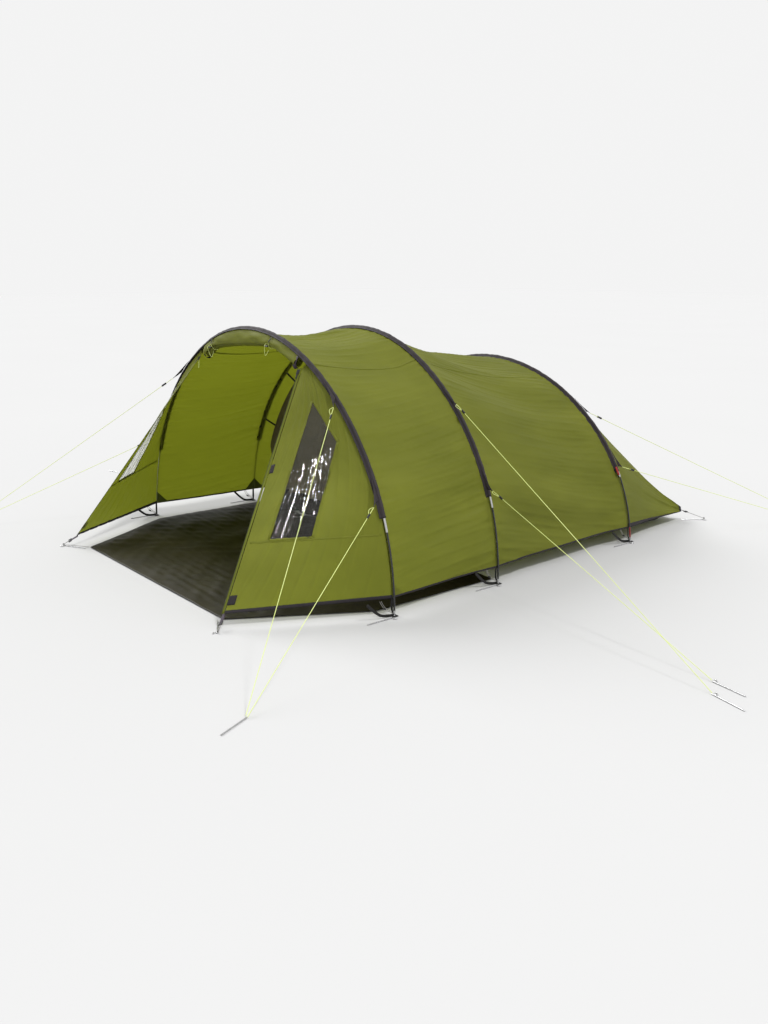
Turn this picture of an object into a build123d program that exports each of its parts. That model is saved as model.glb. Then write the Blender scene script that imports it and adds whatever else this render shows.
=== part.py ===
from build123d import *
import math
import os
from dataclasses import dataclass

# A four-person tunnel tent: three flexible hoops carry one long fly, the porch in front of
# the first hoop is open, and an inner tent hangs behind the middle hoop.
# Millimetres. +Z is up, +Y runs from the porch to the back, +X is the right-hand side of
# someone who stands in front of the porch and looks in. The ground is at z = 0.

# ---- driving dimensions -------------------------------------------------------------
PEG_R, PEG_LENGTH, PEG_HOOK = 2.5, 165, 11
# Where the right-hand corner pegs' hooks lie, as x and the distance in front of or behind the
# front hoop, and the way their shafts point.
FRONT_HOOK, FRONT_PEG_WAY = (922, 810), (-0.86, 0.51)
REAR_HOOK, REAR_PEG_WAY = (1130, 2915), (-0.54, -0.842)
# The corner pegs' hooks are the tent's first and last points, and it is centred on y = 0.
FRONT_REACH = FRONT_HOOK[1] - FRONT_PEG_WAY[0] * PEG_HOOK + PEG_HOOK + PEG_R
REAR_REACH = REAR_HOOK[1] + REAR_PEG_WAY[0] * PEG_HOOK + PEG_HOOK + PEG_R
FRONT_Y = (FRONT_REACH - REAR_REACH) / 2
MIDDLE_Y = FRONT_Y + 775
REAR_Y = FRONT_Y + 2047
REAR_LEAN = 5.4  # degrees that the rear hoop leans towards the porch

POLE_R = 4.75
FERRULE_R = 6.0
FERRULE_LENGTH = 70
FIT_GAP = 0.3
FOOT_SECTION = 455  # arc length of the pole's first section, up from the ground
SLEEVE_HALF = 20  # half the width of the sleeve's flat band
SLEEVE_IN = 7.5  # how far the sleeve reaches inside the pole's centreline
SLEEVE_OUT = 9.0
FLY_OFFSET = 10.5  # the fly's outside lies this far inside the pole's centreline
FABRIC = 3.0
HEM = 90  # height of the fly's lower edge

FRONT_SAG = 45  # how far the fly's ridge hangs below the line between two hoops
MIDDLE_SAG = 60
SIDE_SHARE = 0.4  # the sides pull in by this share of the ridge's sag
BAY_STEPS = 4

REAR_EDGE_Y = FRONT_Y + 2772
REAR_CORNER_X = 1039
REAR_EDGE_LOW = 60
REAR_EDGE_HIGH = 95

ZIP_LOW = Vector(870, FRONT_Y - 739, 66)
ZIP_TOP = Vector(520, FRONT_Y - 20, 1155)
ZIP_TAPE = (14, 2.4)
SLIDER = (16, 7, 26)  # across the zip, thick, along the zip
PULL = (7, 2, 34)

# Corners of the clear window in the right-hand wing, measured from the front hoop.
WINDOW = ((676, -72, 1006), (882, -72, 824), (967, -292, 392), (839, -457, 376))
PANE = 1.0

ROLL_OFFSET = 62  # centre of the rolled-up door, inside the front pole's centreline
ROLL_R = 42
ROLL_FROM, ROLL_TO = 63.0, 117.0  # degrees along the crest arc
TIES_AT = (77.0, 111.0)
TIE_R = 1.5
TOGGLE = (4, 26)

STRAP_W, STRAP_T = 20, 2.0
FOOT_STRAP_REACH = 165

INNER_GAP = 95  # between the fly and the inner tent
INNER_KNEE = 430  # below this height the inner tent's sides slope in to its floor
FLOOR_HALF = 944
INNER_Y = MIDDLE_Y + 45
INNER_BACK = REAR_EDGE_Y - 80
TUB = 140  # height of the inner floor's raised sides
CANOPY_FOOT = TUB + 3
DOOR_HALF, DOOR_LOW, DOOR_SPRING = 400, 190, 620
DOOR_GAP = 4
HOOKS_AT = (28, 47)

SHEET = 3.0  # groundsheet
GROUND_CORNER = (780, 695)  # its front corner: x, and the distance in front of the front hoop
GROUND_SIDE = 1145

ELASTIC_R = 1.3
CORNER_TAIL = 42  # length of the webbing sewn to each corner of the fly

GUY_R = 1.5
TAB_BASE, TAB_T = 90, 2.5
TAB_REACH, FRONT_TAB_REACH = 34, 80
TAB_CLEAR = 10
RUNNER = (11, 7, 34)
RUNNER_BORE = GUY_R + 0.5
RUNNER_FROM_TAB = 75


# ---- hoops --------------------------------------------------------------------------
@dataclass
class Hoop:
    """A three-arc arch: two side arcs that stand square on the ground, and a crest arc.

    turn is the angle from the ground, in degrees, where a side arc meets the crest arc.
    """

    y: float
    half_span: float
    height: float
    turn: float
    lean: float = 0.0
    sleeve_end: float = 480.0

    @property
    def radius_step(self):
        """How much larger the crest radius is than the side radius, for tangent arcs."""
        t = math.radians(self.turn)
        return (self.half_span - self.height) / (math.sin(t) + math.cos(t) - 1)

    @property
    def side_radius(self):
        return self.half_span - self.radius_step * math.cos(math.radians(self.turn))

    @property
    def crest_radius(self):
        return self.side_radius + self.radius_step

    @property
    def side_centre(self):
        return self.half_span - self.side_radius, 0.0

    @property
    def crest_centre(self):
        return 0.0, self.height - self.crest_radius

    @property
    def plane(self):
        """The hoop's own plane: x to the right, y up along the hoop."""
        lean = math.radians(self.lean)
        return Plane((0, self.y, 0), x_dir=(1, 0, 0), z_dir=(0, -math.cos(lean), -math.sin(lean)))

    def side_angle(self, height):
        """The angle along the side arc at this height in the hoop's plane."""
        return math.degrees(math.asin(height / self.side_radius))

    def point(self, angle, offset=0.0, right=1):
        """A point in space on the arch, offset outwards, at an angle from the ground."""
        if angle <= self.turn:
            (cx, cy), r = self.side_centre, self.side_radius
        else:
            (cx, cy), r = self.crest_centre, self.crest_radius
        t = math.radians(angle)
        x, up = cx + (r + offset) * math.cos(t), cy + (r + offset) * math.sin(t)
        return self.plane.from_local_coords(Vector(right * x, up, 0))


FRONT = Hoop(FRONT_Y, 1250, 1340, turn=66, sleeve_end=480)
MIDDLE = Hoop(MIDDLE_Y, 1217, 1320, turn=63, sleeve_end=470)
REAR = Hoop(REAR_Y, 1153, 1090, turn=45, lean=REAR_LEAN, sleeve_end=440)


def between(a, b, t, sag):
    """The fly's arch at the fraction t of the way from hoop a to hoop b."""
    hang = 4 * t * (1 - t) * sag
    mix = lambda p, q: p + (q - p) * t
    return Hoop(
        y=mix(a.y, b.y),
        half_span=mix(a.half_span, b.half_span) - SIDE_SHARE * hang,
        height=mix(a.height, b.height) - hang,
        turn=mix(a.turn, b.turn),
        lean=mix(a.lean, b.lean),
    )


def arch_edges(hoop, offset, foot):
    """The arch's three edges in the hoop's own plane, from the right foot over to the left."""
    (sx, sy), r = hoop.side_centre, hoop.side_radius + offset
    (cx, cy), crest = hoop.crest_centre, hoop.crest_radius + offset
    start = math.degrees(math.asin(foot / r))
    turn = hoop.turn
    return [
        CenterArc((sx, sy), r, start, turn - start),
        CenterArc((cx, cy), crest, turn, 180 - 2 * turn),
        CenterArc((-sx, sy), r, 180 - turn, turn - start),
    ]


def arch_band(hoop, outer, inner, foot):
    """A face shaped as a band along the arch, between two offsets."""
    out, into = arch_edges(hoop, outer, foot), arch_edges(hoop, inner, foot)
    feet = [Line(out[0] @ 0, into[0] @ 0), Line(out[2] @ 1, into[2] @ 1)]
    return hoop.plane * make_face([*out, *into, *feet])


def along_arc(hoop, profile, start, end, side):
    """Revolves a profile along part of one arc. side is 'right', 'left' or 'crest'."""
    crest = side == "crest"
    (cx, cz), r = (
        (hoop.crest_centre, hoop.crest_radius)
        if crest
        else (hoop.side_centre, hoop.side_radius)
    )
    axis = Axis((cx, hoop.y, cz), (0, -1, 0))
    section = Plane((cx, hoop.y, cz), x_dir=(1, 0, 0), z_dir=(0, 0, 1)) * (Pos(r, 0) * profile)
    piece = revolve(section, axis, end - start).rotate(axis, start)
    if side == "left":
        piece = mirror(piece, Plane.YZ)
    return piece.rotate(Axis((0, hoop.y, 0), (1, 0, 0)), hoop.lean)


def section_angles(hoop):
    """Where the pole's sections meet on a side arc, in degrees."""
    foot = math.degrees(FOOT_SECTION / hoop.side_radius)
    return [foot, (foot + hoop.turn) / 2, hoop.turn]


def pole_sections(hoop):
    start = hoop.side_angle(22)
    stops = [start, *section_angles(hoop)]
    rod = Circle(POLE_R)
    sections = []
    for side in ("right", "left"):
        sections += [along_arc(hoop, rod, a, b, side) for a, b in zip(stops, stops[1:])]
    sections.append(along_arc(hoop, rod, hoop.turn, 90, "crest"))
    sections.append(along_arc(hoop, rod, 90, 180 - hoop.turn, "crest"))
    return sections


def ferrules(hoop):
    """Steel tubes over the joints between sections, and a turned tip under each foot."""
    tube = Circle(FERRULE_R) - Circle(POLE_R + 0.1)
    half = math.degrees(FERRULE_LENGTH / 2 / hoop.side_radius)
    pieces = []
    for side in ("right", "left"):
        for angle in section_angles(hoop)[:2]:
            pieces.append(along_arc(hoop, tube, angle - half, angle + half, side))
        pieces.append(foot_tip(hoop, 1 if side == "right" else -1))
    pieces.append(along_arc(hoop, tube, 90 - half, 90 + half, "crest"))
    return pieces


def foot_tip(hoop, right):
    foot = Vector(right * hoop.half_span, hoop.y, 0)
    collar = Pos(0, 0, 14) * Cylinder(FERRULE_R, 16, align=(Align.CENTER, Align.CENTER, Align.MIN))
    bore = Pos(0, 0, 21.5) * Cylinder(POLE_R + 0.7, 9, align=(Align.CENTER, Align.CENTER, Align.MIN))
    pin = Cylinder(3.0, 14.5, align=(Align.CENTER, Align.CENTER, Align.MIN))
    tip = Pos(*foot) * (collar - bore + pin)
    lift = 3.0 * math.sin(math.radians(hoop.lean))
    return tip.rotate(Axis((0, hoop.y, 0), (1, 0, 0)), hoop.lean).moved(Location((0, 0, lift)))


def sleeve(hoop):
    flat = Rectangle(SLEEVE_IN + SLEEVE_OUT, 2 * SLEEVE_HALF)
    flat = Pos((SLEEVE_OUT - SLEEVE_IN) / 2, 0) * fillet(flat.vertices(), 5)
    band = flat - Circle(FERRULE_R + FIT_GAP)
    start = hoop.side_angle(hoop.sleeve_end)
    right = along_arc(hoop, band, start, hoop.turn, "right")
    crest = along_arc(hoop, band, hoop.turn, 180 - hoop.turn, "crest")
    return right + crest + mirror(right, Plane.YZ)


# ---- fly ----------------------------------------------------------------------------
def bay(a, b, sag):
    """A fabric bay between two hoops, as ruled strips that follow the sag."""
    steps = [between(a, b, k / BAY_STEPS, sag) for k in range(BAY_STEPS + 1)]
    faces = [arch_band(s, -FLY_OFFSET, -FLY_OFFSET - FABRIC, HEM) for s in steps]
    return loft(faces, ruled=True)


def strip_face(y, half_width, low, high, thick):
    """The rear edge of the sloping panel, as a thin band with one edge per arc of an arch."""
    outer = [(half_width, low), (half_width - 7, high), (7 - half_width, high), (-half_width, low)]
    x, into = half_width - thick, high - thick
    inner = [(x, low), (x - 7, into), (7 - x, into), (-x, low)]
    lines = [Line(p, q) for path in (outer, inner) for p, q in zip(path, path[1:])]
    lines += [Line(outer[0], inner[0]), Line(outer[-1], inner[-1])]
    plane = Plane((0, y, 0), x_dir=(1, 0, 0), z_dir=(0, -1, 0))
    return plane * make_face(lines)


def rear_panel():
    top = arch_band(REAR, -FLY_OFFSET, -FLY_OFFSET - FABRIC - 1, HEM)
    edge = strip_face(REAR_EDGE_Y, REAR_CORNER_X, REAR_EDGE_LOW, REAR_EDGE_HIGH, FABRIC + 1)
    return loft([top, edge], ruled=True)


def wing_surface():
    """The right-hand porch wing: a ruled surface from the front hoop to the zip."""
    offset = -FLY_OFFSET - FABRIC / 2
    low = FRONT.side_angle(HEM)
    high = math.degrees(math.acos(ZIP_TOP.X / (FRONT.crest_radius + offset)))
    (sx, sz), r = FRONT.side_centre, FRONT.side_radius + offset
    stand = Plane((0, FRONT_Y - 3, 0), x_dir=(1, 0, 0), z_dir=(0, -1, 0))
    side = stand * CenterArc((sx, sz), r, low, high - low)
    return Face.make_surface_from_curves(side.edge(), Line(ZIP_LOW, ZIP_TOP).edge())


def window_prism(grow):
    corners = [Vector(x, y + FRONT_Y, z) for x, y, z in WINDOW]
    centre = sum(corners, Vector()) / len(corners)
    normal = (corners[2] - corners[0]).cross(corners[3] - corners[1]).normalized()
    plane = Plane(centre, x_dir=corners[3] - corners[2], z_dir=normal)
    flat = [plane.to_local_coords(c) for c in corners]
    outline = Polyline(*[(p.X, p.Y) for p in flat], close=True)
    face = offset(make_face(outline), grow) if grow else make_face(outline)
    return extrude(plane * face, 120, both=True)


def front_wing():
    return thicken(wing_surface(), FABRIC / 2, both=True) - window_prism(0)


def window_pane():
    """The clear pane fills the cut-out and is flush with it."""
    return thicken(wing_surface(), PANE / 2, both=True) & window_prism(-0.2)


# ---- small pieces -------------------------------------------------------------------
def bar(start, end, width, thick, wide=(0, 0, 1)):
    """A flat bar between two points. wide is roughly the way its width points."""
    along = (end - start).normalized()
    wide = Vector(*wide)
    wide = (wide - along * wide.dot(along)).normalized()
    plane = Plane(start, x_dir=wide, z_dir=along)
    return extrude(plane * Rectangle(width, thick), (end - start).length)


def rod(start, end, radius):
    plane = Plane(start, z_dir=end - start)
    return extrude(plane * Circle(radius), (end - start).length)


def both_sides(pieces):
    return [*pieces, *[mirror(p, Plane.YZ) for p in pieces]]


ZIP_ALONG = (ZIP_TOP - ZIP_LOW).normalized()
ZIP_ACROSS = Vector(-0.72, -0.67, -0.17)  # from the wing towards the doorway


def zip_tape():
    across = (ZIP_ACROSS - ZIP_ALONG * ZIP_ACROSS.dot(ZIP_ALONG)).normalized()
    shift = across * (ZIP_TAPE[0] / 2 + 2.5)
    return bar(ZIP_LOW + shift, ZIP_TOP + shift, *ZIP_TAPE, wide=tuple(across))


def zip_slider():
    """A slider that wraps the zip's free edge, with its pull hanging outside."""
    across = (ZIP_ACROSS - ZIP_ALONG * ZIP_ACROSS.dot(ZIP_ALONG)).normalized()
    outward = ZIP_ALONG.cross(across).normalized()
    if outward.Y > 0:
        outward = outward * -1
    start = ZIP_TOP - ZIP_ALONG * (SLIDER[2] + 12) + across * (ZIP_TAPE[0] + 2.5)
    body = bar(start, start + ZIP_ALONG * SLIDER[2], SLIDER[0], SLIDER[1], wide=tuple(across))
    slot = bar(
        start - ZIP_ALONG,
        start + ZIP_ALONG * (SLIDER[2] + 1),
        SLIDER[0] + 1,
        ZIP_TAPE[1] + 1.2,
        wide=tuple(across),
    )
    body -= slot.moved(Location(across * -6.5))
    hang = start + outward * (SLIDER[1] / 2 + PULL[1] / 2) + ZIP_ALONG * 6
    pull = bar(hang, hang - ZIP_ALONG * PULL[2], PULL[0], PULL[1], wide=tuple(across))
    boss = bar(hang, hang + ZIP_ALONG * 12, PULL[0], PULL[1], wide=tuple(across))
    return body + pull + boss


def door_roll():
    return along_crest(ROLL_OFFSET, Circle(ROLL_R), ROLL_FROM, ROLL_TO)


def along_crest(inside, profile, start, end):
    return along_arc(FRONT, Pos(-inside, 0) * profile, start, end, "crest")


def door_ties():
    """A cord loop round the roll at each tie."""
    span = math.degrees(2 * TIE_R / FRONT.crest_radius)
    ring = Circle(ROLL_R + FIT_GAP + 2 * TIE_R) - Circle(ROLL_R + FIT_GAP)
    return [along_crest(ROLL_OFFSET, ring, a - span / 2, a + span / 2) for a in TIES_AT]


def door_toggles():
    """A barrel toggle on the front of each loop."""
    reach = ROLL_R + FIT_GAP + 2 * TIE_R + TOGGLE[0]
    pieces = []
    half = Vector(TOGGLE[1] / 2, 0, 0)
    for angle in TIES_AT:
        centre = FRONT.point(angle, -ROLL_OFFSET) - Vector(0, reach, 0)
        pieces.append(rod(centre - half, centre + half, TOGGLE[0]))
    return pieces


def foot_straps(hoop):
    """Webbing at each foot: an eyelet plate for the pole's tip, with two tails to the fly's hem."""
    foot = Vector(hoop.half_span, hoop.y, 0)
    plate = Pos(*foot) * Pos(0, 0, 0.2) * extrude(Rectangle(26, 44) - Circle(3.6), STRAP_T)
    flat = STRAP_T / 2 + 0.2
    start = foot + Vector(-4, -20, flat)
    bend = foot + Vector(-4, -FOOT_STRAP_REACH * 0.4, flat)
    hem = foot + Vector(-12, -FOOT_STRAP_REACH, HEM - 14)
    along_ground = bar(start, bend, STRAP_W, STRAP_T, wide=(1, 0, 0))
    rise = bar(bend + Vector(0, 0, 1), hem, STRAP_W, STRAP_T, wide=(1, 0, 0))
    post = foot + Vector(-FERRULE_R - 5, 0, STRAP_T)
    post_top = hoop.point(hoop.side_angle(HEM + 25), -23)
    riser = bar(post, post_top, STRAP_W, STRAP_T, wide=(0, 1, 0))
    return both_sides([plate + along_ground + rise + riser])


def peg(hook, way):
    """A hooked wire peg lying on the ground. Its shaft runs from the hook along way."""
    way = Vector(*way, 0).normalized()
    side = Vector(-way.Y, way.X, 0)
    start = Vector(*hook, PEG_R)
    bend = revolve(
        Plane(start, x_dir=side, z_dir=way) * Circle(PEG_R),
        Axis(tuple(start + side * PEG_HOOK), (0, 0, 1)),
        200,
    )
    return rod(start, start + way * PEG_LENGTH, PEG_R) + bend


def foot_peg(hoop):
    """Lies beside the foot's webbing, with its hook at the eyelet plate."""
    return peg((hoop.half_span + 17, hoop.y - 20), (0, -1))


def corner_straps(corner, hook):
    """A short webbing tail on the fly's corner, and an elastic cord from it to the peg's hook."""
    way = (hook - corner).normalized()
    tail = bar(corner, corner + way * CORNER_TAIL, STRAP_W, STRAP_T, wide=(1, 0, 0))
    return [tail, rod(corner + way * (CORNER_TAIL + FIT_GAP), hook, ELASTIC_R)]


def front_corner_straps():
    hook = Vector(FRONT_HOOK[0], FRONT_Y - FRONT_HOOK[1], 2 * PEG_R + 2 * ELASTIC_R)
    sheet_corner = Vector(GROUND_CORNER[0] + 6, FRONT_Y - GROUND_CORNER[1] - 3, SHEET + ELASTIC_R + FIT_GAP)
    hold_down = rod(sheet_corner, hook - Vector(12, -6, 0), ELASTIC_R)
    return both_sides([*corner_straps(ZIP_LOW + Vector(3, -10, -12), hook), hold_down])


def rear_corner_straps():
    corner = Vector(REAR_CORNER_X - 6, REAR_EDGE_Y + 4, REAR_EDGE_LOW + 10)
    hook = Vector(REAR_HOOK[0], FRONT_Y + REAR_HOOK[1], 2 * PEG_R + 2 * ELASTIC_R)
    return both_sides(corner_straps(corner, hook))


# ---- floors and inner tent ----------------------------------------------------------
def porch_groundsheet():
    """Lies on the ground from the door to the inner tent, with cut-away front corners."""
    corner = (GROUND_CORNER[0], FRONT_Y - GROUND_CORNER[1])
    right = [corner, (GROUND_SIDE, FRONT_Y - 30), (GROUND_SIDE, INNER_Y - 12)]
    outline = [*right, *[(-x, y) for x, y in reversed(right)]]
    return extrude(make_face(Polyline(*outline, close=True)), SHEET)


def inner_hoop(hoop, y):
    """The inner tent's arch at y, hung a constant distance inside a hoop's arch."""
    return Hoop(y, hoop.half_span - INNER_GAP, hoop.height - INNER_GAP, hoop.turn, hoop.lean)


INNER_FRONT = inner_hoop(MIDDLE, INNER_Y)
INNER_REAR = inner_hoop(REAR, REAR_Y)


def inner_section(hoop, inset, foot):
    """The inner tent's cross-section: an arch whose sides slope in to the floor from the knee."""
    arcs = arch_edges(hoop, -inset, INNER_KNEE)
    knee = arcs[0] @ 0
    slope = (knee.X + inset - FLOOR_HALF) / (INNER_KNEE - CANOPY_FOOT)
    x = knee.X - slope * (INNER_KNEE - foot)
    lines = [Line(arcs[2] @ 1, (-x, foot)), Line((-x, foot), (x, foot)), Line((x, foot), knee)]
    return hoop.plane * make_face([*arcs, *lines])


def inner_end(y, inset, foot):
    """The low rear edge of the inner tent, with one edge for each of the section's."""
    half, top = FLOOR_HALF - inset, CANOPY_FOOT + 16 - inset
    right = [(half, foot), (half - 1, (foot + top) / 2), (half - 5, top)]
    path = [*right, *[(-x, z) for x, z in reversed(right)]]
    lines = [Line(p, q) for p, q in zip(path, path[1:])] + [Line(path[-1], path[0])]
    return Plane((0, y, 0), x_dir=(1, 0, 0), z_dir=(0, -1, 0)) * make_face(lines)


def inner_canopy():
    """Breathable roof, sides and back as one thin shell that is open in front and below."""
    def body(inset, front, back):
        nose = Hoop(front, INNER_FRONT.half_span, INNER_FRONT.height, INNER_FRONT.turn)
        foot = CANOPY_FOOT - 6 * inset
        faces = [
            inner_section(nose, inset, foot),
            inner_section(INNER_REAR, inset, foot),
            inner_end(back, inset, foot),
        ]
        return loft(faces, ruled=True)

    return body(0, INNER_Y + FABRIC + 0.5, INNER_BACK) - body(FABRIC, INNER_Y, INNER_BACK - FABRIC)


def tub_outline(inset):
    corners = [(FLOOR_HALF - inset, y) for y in (INNER_Y + inset, INNER_BACK - inset)]
    return make_face(Polyline(*corners, *[(-x, y) for x, y in reversed(corners)], close=True))


def inner_floor():
    """Waterproof floor with sides that stand up all round."""
    tray = extrude(tub_outline(0), TUB - FIT_GAP)
    return tray - Pos(0, 0, SHEET) * extrude(tub_outline(FABRIC), TUB)


def door_outline(grow):
    """The inner door: straight sides, a round top."""
    half, low, spring = DOOR_HALF + grow, DOOR_LOW - grow, DOOR_SPRING
    arch = ThreePointArc((half, spring), (0, spring + half), (-half, spring))
    sides = Polyline((-half, spring), (-half, low), (half, low), (half, spring))
    return make_face([arch, *sides.edges()])


def inner_front_wall():
    wall = inner_section(INNER_FRONT, 0, TUB)
    hole = INNER_FRONT.plane * door_outline(DOOR_GAP)
    return extrude(wall - hole, FABRIC, dir=(0, 1, 0))


def inner_door():
    return extrude(INNER_FRONT.plane * door_outline(0), FABRIC, dir=(0, 1, 0))


def inner_hooks():
    """Short elastic tabs that hook the inner tent's front edge to the middle pole."""
    pieces = []
    for angle in HOOKS_AT:
        outer = MIDDLE.point(angle, -FLY_OFFSET - FABRIC - 8) + Vector(0, 8, 0)
        inner = INNER_FRONT.point(angle, -6) - Vector(0, 4, 0)
        pieces.append(bar(outer, inner, 12, 2, wide=(0, 0, 1)))
    return both_sides(pieces)


# ---- guy lines ----------------------------------------------------------------------
@dataclass
class Guy:
    """A guy line on the right-hand side, from a tab on a hoop's sleeve to a peg."""

    name: str
    hoop: Hoop
    height: float
    peg: tuple
    reach: float = TAB_REACH

    def tab_base(self):
        angle = math.degrees(math.asin(self.height / self.hoop.side_radius))
        if angle > self.hoop.turn:
            rise = self.height - self.hoop.crest_centre[1]
            angle = math.degrees(math.asin(rise / self.hoop.crest_radius))
        return self.hoop.point(angle, SLEEVE_OUT - 1), angle

    def line_way(self):
        return (Vector(*self.peg, 2 * PEG_R + GUY_R) - self.tab_base()[0]).normalized()

    def start(self):
        return self.tab_base()[0] + self.line_way() * self.reach

    def end(self):
        return Vector(*self.peg, 2 * PEG_R + GUY_R)

    def tab(self):
        """A triangle of webbing, sewn to the sleeve along its base."""
        base, angle = self.tab_base()
        t = math.radians(angle)
        along = self.hoop.plane.to_local_coords(base)
        tangent = self.hoop.plane.from_local_coords(
            along + Vector(-math.sin(t), math.cos(t), 0)
        ) - base
        way = self.line_way()
        plane = Plane(base, x_dir=tangent, z_dir=tangent.cross(way))
        tip = plane.to_local_coords(base + way * (self.reach + 4))
        half = TAB_BASE / 2
        outline = Polyline((-half, 0), (half, 0), (tip.X + 5, tip.Y), (tip.X - 5, tip.Y), close=True)
        return extrude(plane * make_face(outline), TAB_T / 2, both=True)

    def line(self):
        return rod(self.start() + self.line_way() * TAB_CLEAR, self.end(), GUY_R)

    def runner(self):
        way = self.line_way()
        centre = self.start() + way * RUNNER_FROM_TAB
        low = centre - way * (RUNNER[2] / 2)
        block = bar(low, low + way * RUNNER[2], RUNNER[0], RUNNER[1], wide=(0, 0, 1))
        block = fillet(block.edges(), 2.4)
        return block - rod(low - way * 2, low + way * (RUNNER[2] + 2), RUNNER_BORE)


def beside(place, shift):
    return place[0] + shift, place[1]


# The right-hand guy pegs. Two lines may share one, and lie side by side in its hook.
FRONT_GUY_PEG = (1732, FRONT_Y - 1167)
MIDDLE_GUY_PEGS = ((2694, MIDDLE_Y - 351), (2625, MIDDLE_Y - 238))
REAR_GUY_PEG = (1720, REAR_Y + 1330)
SIDE_BY_SIDE = 6
GUYS = [
    Guy("front_upper", FRONT, 1030, beside(FRONT_GUY_PEG, -SIDE_BY_SIDE), FRONT_TAB_REACH),
    Guy("front_lower", FRONT, 575, beside(FRONT_GUY_PEG, SIDE_BY_SIDE), FRONT_TAB_REACH),
    Guy("middle_upper", MIDDLE, 950, MIDDLE_GUY_PEGS[0]),
    Guy("middle_lower", MIDDLE, 515, MIDDLE_GUY_PEGS[1]),
    Guy("rear_upper", REAR, 790, beside(REAR_GUY_PEG, -SIDE_BY_SIDE)),
    Guy("rear_lower", REAR, 474, beside(REAR_GUY_PEG, SIDE_BY_SIDE)),
]


def tabs(hoop):
    return both_sides([g.tab() for g in GUYS if g.hoop is hoop])


def guy_pegs(hoop, places):
    """Each shaft points away from the foot of the hoop that it holds."""
    return both_sides([peg((x, y), (x - hoop.half_span, y - hoop.y)) for x, y in places])


# ---- writing the nodes --------------------------------------------------------------
def solids_of(shape):
    if isinstance(shape, (list, tuple)):
        return [s for part in shape for s in solids_of(part)]
    return list(shape.solids())


def write(name, shape):
    solids = solids_of(shape)
    whole = solids[0] if len(solids) == 1 else Compound(children=solids)
    export_step(whole, f"parts/{name}.step")


def main():
    os.makedirs("parts", exist_ok=True)
    for name, hoop in (("front", FRONT), ("middle", MIDDLE), ("rear", REAR)):
        write(f"{name}_pole", pole_sections(hoop))
        write(f"{name}_ferrules", ferrules(hoop))
        write(f"{name}_sleeve", [sleeve(hoop), *tabs(hoop)])
    write("fly_front_bay", bay(FRONT, MIDDLE, FRONT_SAG))
    write("fly_middle_bay", bay(MIDDLE, REAR, MIDDLE_SAG))
    write("fly_rear_panel", rear_panel())
    wing, pane = front_wing(), window_pane()
    write("front_wing_right", wing)
    write("front_wing_left", mirror(wing, Plane.YZ))
    write("wing_windows", both_sides([pane]))
    write("door_zips", both_sides([zip_tape()]))
    slider = zip_slider()
    write("zip_slider_right", slider)
    write("zip_slider_left", mirror(slider, Plane.YZ))
    write("door_roll", door_roll())
    write("door_ties", door_ties())
    write("door_toggles", door_toggles())
    write("front_straps", [*foot_straps(FRONT), *front_corner_straps()])
    write("middle_straps", foot_straps(MIDDLE))
    write("rear_straps", [*foot_straps(REAR), *rear_corner_straps()])
    front_corner = peg((FRONT_HOOK[0], FRONT_Y - FRONT_HOOK[1]), FRONT_PEG_WAY)
    rear_corner = peg((REAR_HOOK[0], FRONT_Y + REAR_HOOK[1]), REAR_PEG_WAY)
    write("front_pegs", both_sides([front_corner, foot_peg(FRONT)]))
    write("middle_pegs", both_sides([foot_peg(MIDDLE)]))
    write("rear_pegs", both_sides([rear_corner, foot_peg(REAR)]))
    write("porch_groundsheet", porch_groundsheet())
    write("inner_floor", inner_floor())
    write("inner_canopy", inner_canopy())
    write("inner_front_wall", inner_front_wall())
    write("inner_door", inner_door())
    write("inner_hooks", inner_hooks())
    write("guy_pegs_front", guy_pegs(FRONT, [FRONT_GUY_PEG]))
    write("guy_pegs_middle", guy_pegs(MIDDLE, MIDDLE_GUY_PEGS))
    write("guy_pegs_rear", guy_pegs(REAR, [REAR_GUY_PEG]))
    for guy in GUYS:
        line, runner = guy.line(), guy.runner()
        write(f"guy_{guy.name}_right", line)
        write(f"guy_{guy.name}_left", mirror(line, Plane.YZ))
        write(f"runner_{guy.name}_right", runner)
        write(f"runner_{guy.name}_left", mirror(runner, Plane.YZ))


if __name__ == "__main__":
    main()
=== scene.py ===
import math

import bmesh
import bpy
import numpy as np
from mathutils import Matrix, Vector


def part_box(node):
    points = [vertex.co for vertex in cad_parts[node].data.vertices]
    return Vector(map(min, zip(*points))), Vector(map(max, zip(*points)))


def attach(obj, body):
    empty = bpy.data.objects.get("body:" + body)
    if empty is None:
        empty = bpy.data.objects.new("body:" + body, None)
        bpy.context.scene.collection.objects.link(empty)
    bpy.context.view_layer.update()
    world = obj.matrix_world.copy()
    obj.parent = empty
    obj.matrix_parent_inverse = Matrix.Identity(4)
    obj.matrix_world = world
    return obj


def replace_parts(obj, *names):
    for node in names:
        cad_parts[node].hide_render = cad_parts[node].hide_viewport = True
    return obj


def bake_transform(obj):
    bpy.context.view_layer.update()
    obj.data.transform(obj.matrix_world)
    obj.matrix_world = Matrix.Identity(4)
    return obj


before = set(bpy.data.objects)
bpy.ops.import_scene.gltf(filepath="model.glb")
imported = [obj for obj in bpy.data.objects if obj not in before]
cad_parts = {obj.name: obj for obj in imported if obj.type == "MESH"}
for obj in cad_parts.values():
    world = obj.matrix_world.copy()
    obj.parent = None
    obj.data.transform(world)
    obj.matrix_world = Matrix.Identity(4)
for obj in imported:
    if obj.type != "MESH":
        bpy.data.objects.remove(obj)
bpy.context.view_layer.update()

# ---- the hoops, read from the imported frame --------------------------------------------
POLE_R = 0.00475
HEM = 0.09
CLOTH_THICK = 0.0006  # every large sheet
BINDING_LIFT, BINDING_THICK, SEAM_THICK = 0.0012, 0.001, 0.0011
FLY = 0.0105  # the fly lies this far inside the pole's centreline
SIDE_SHARE = 0.4
REAR_LEAN = math.radians(5.4)


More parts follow.
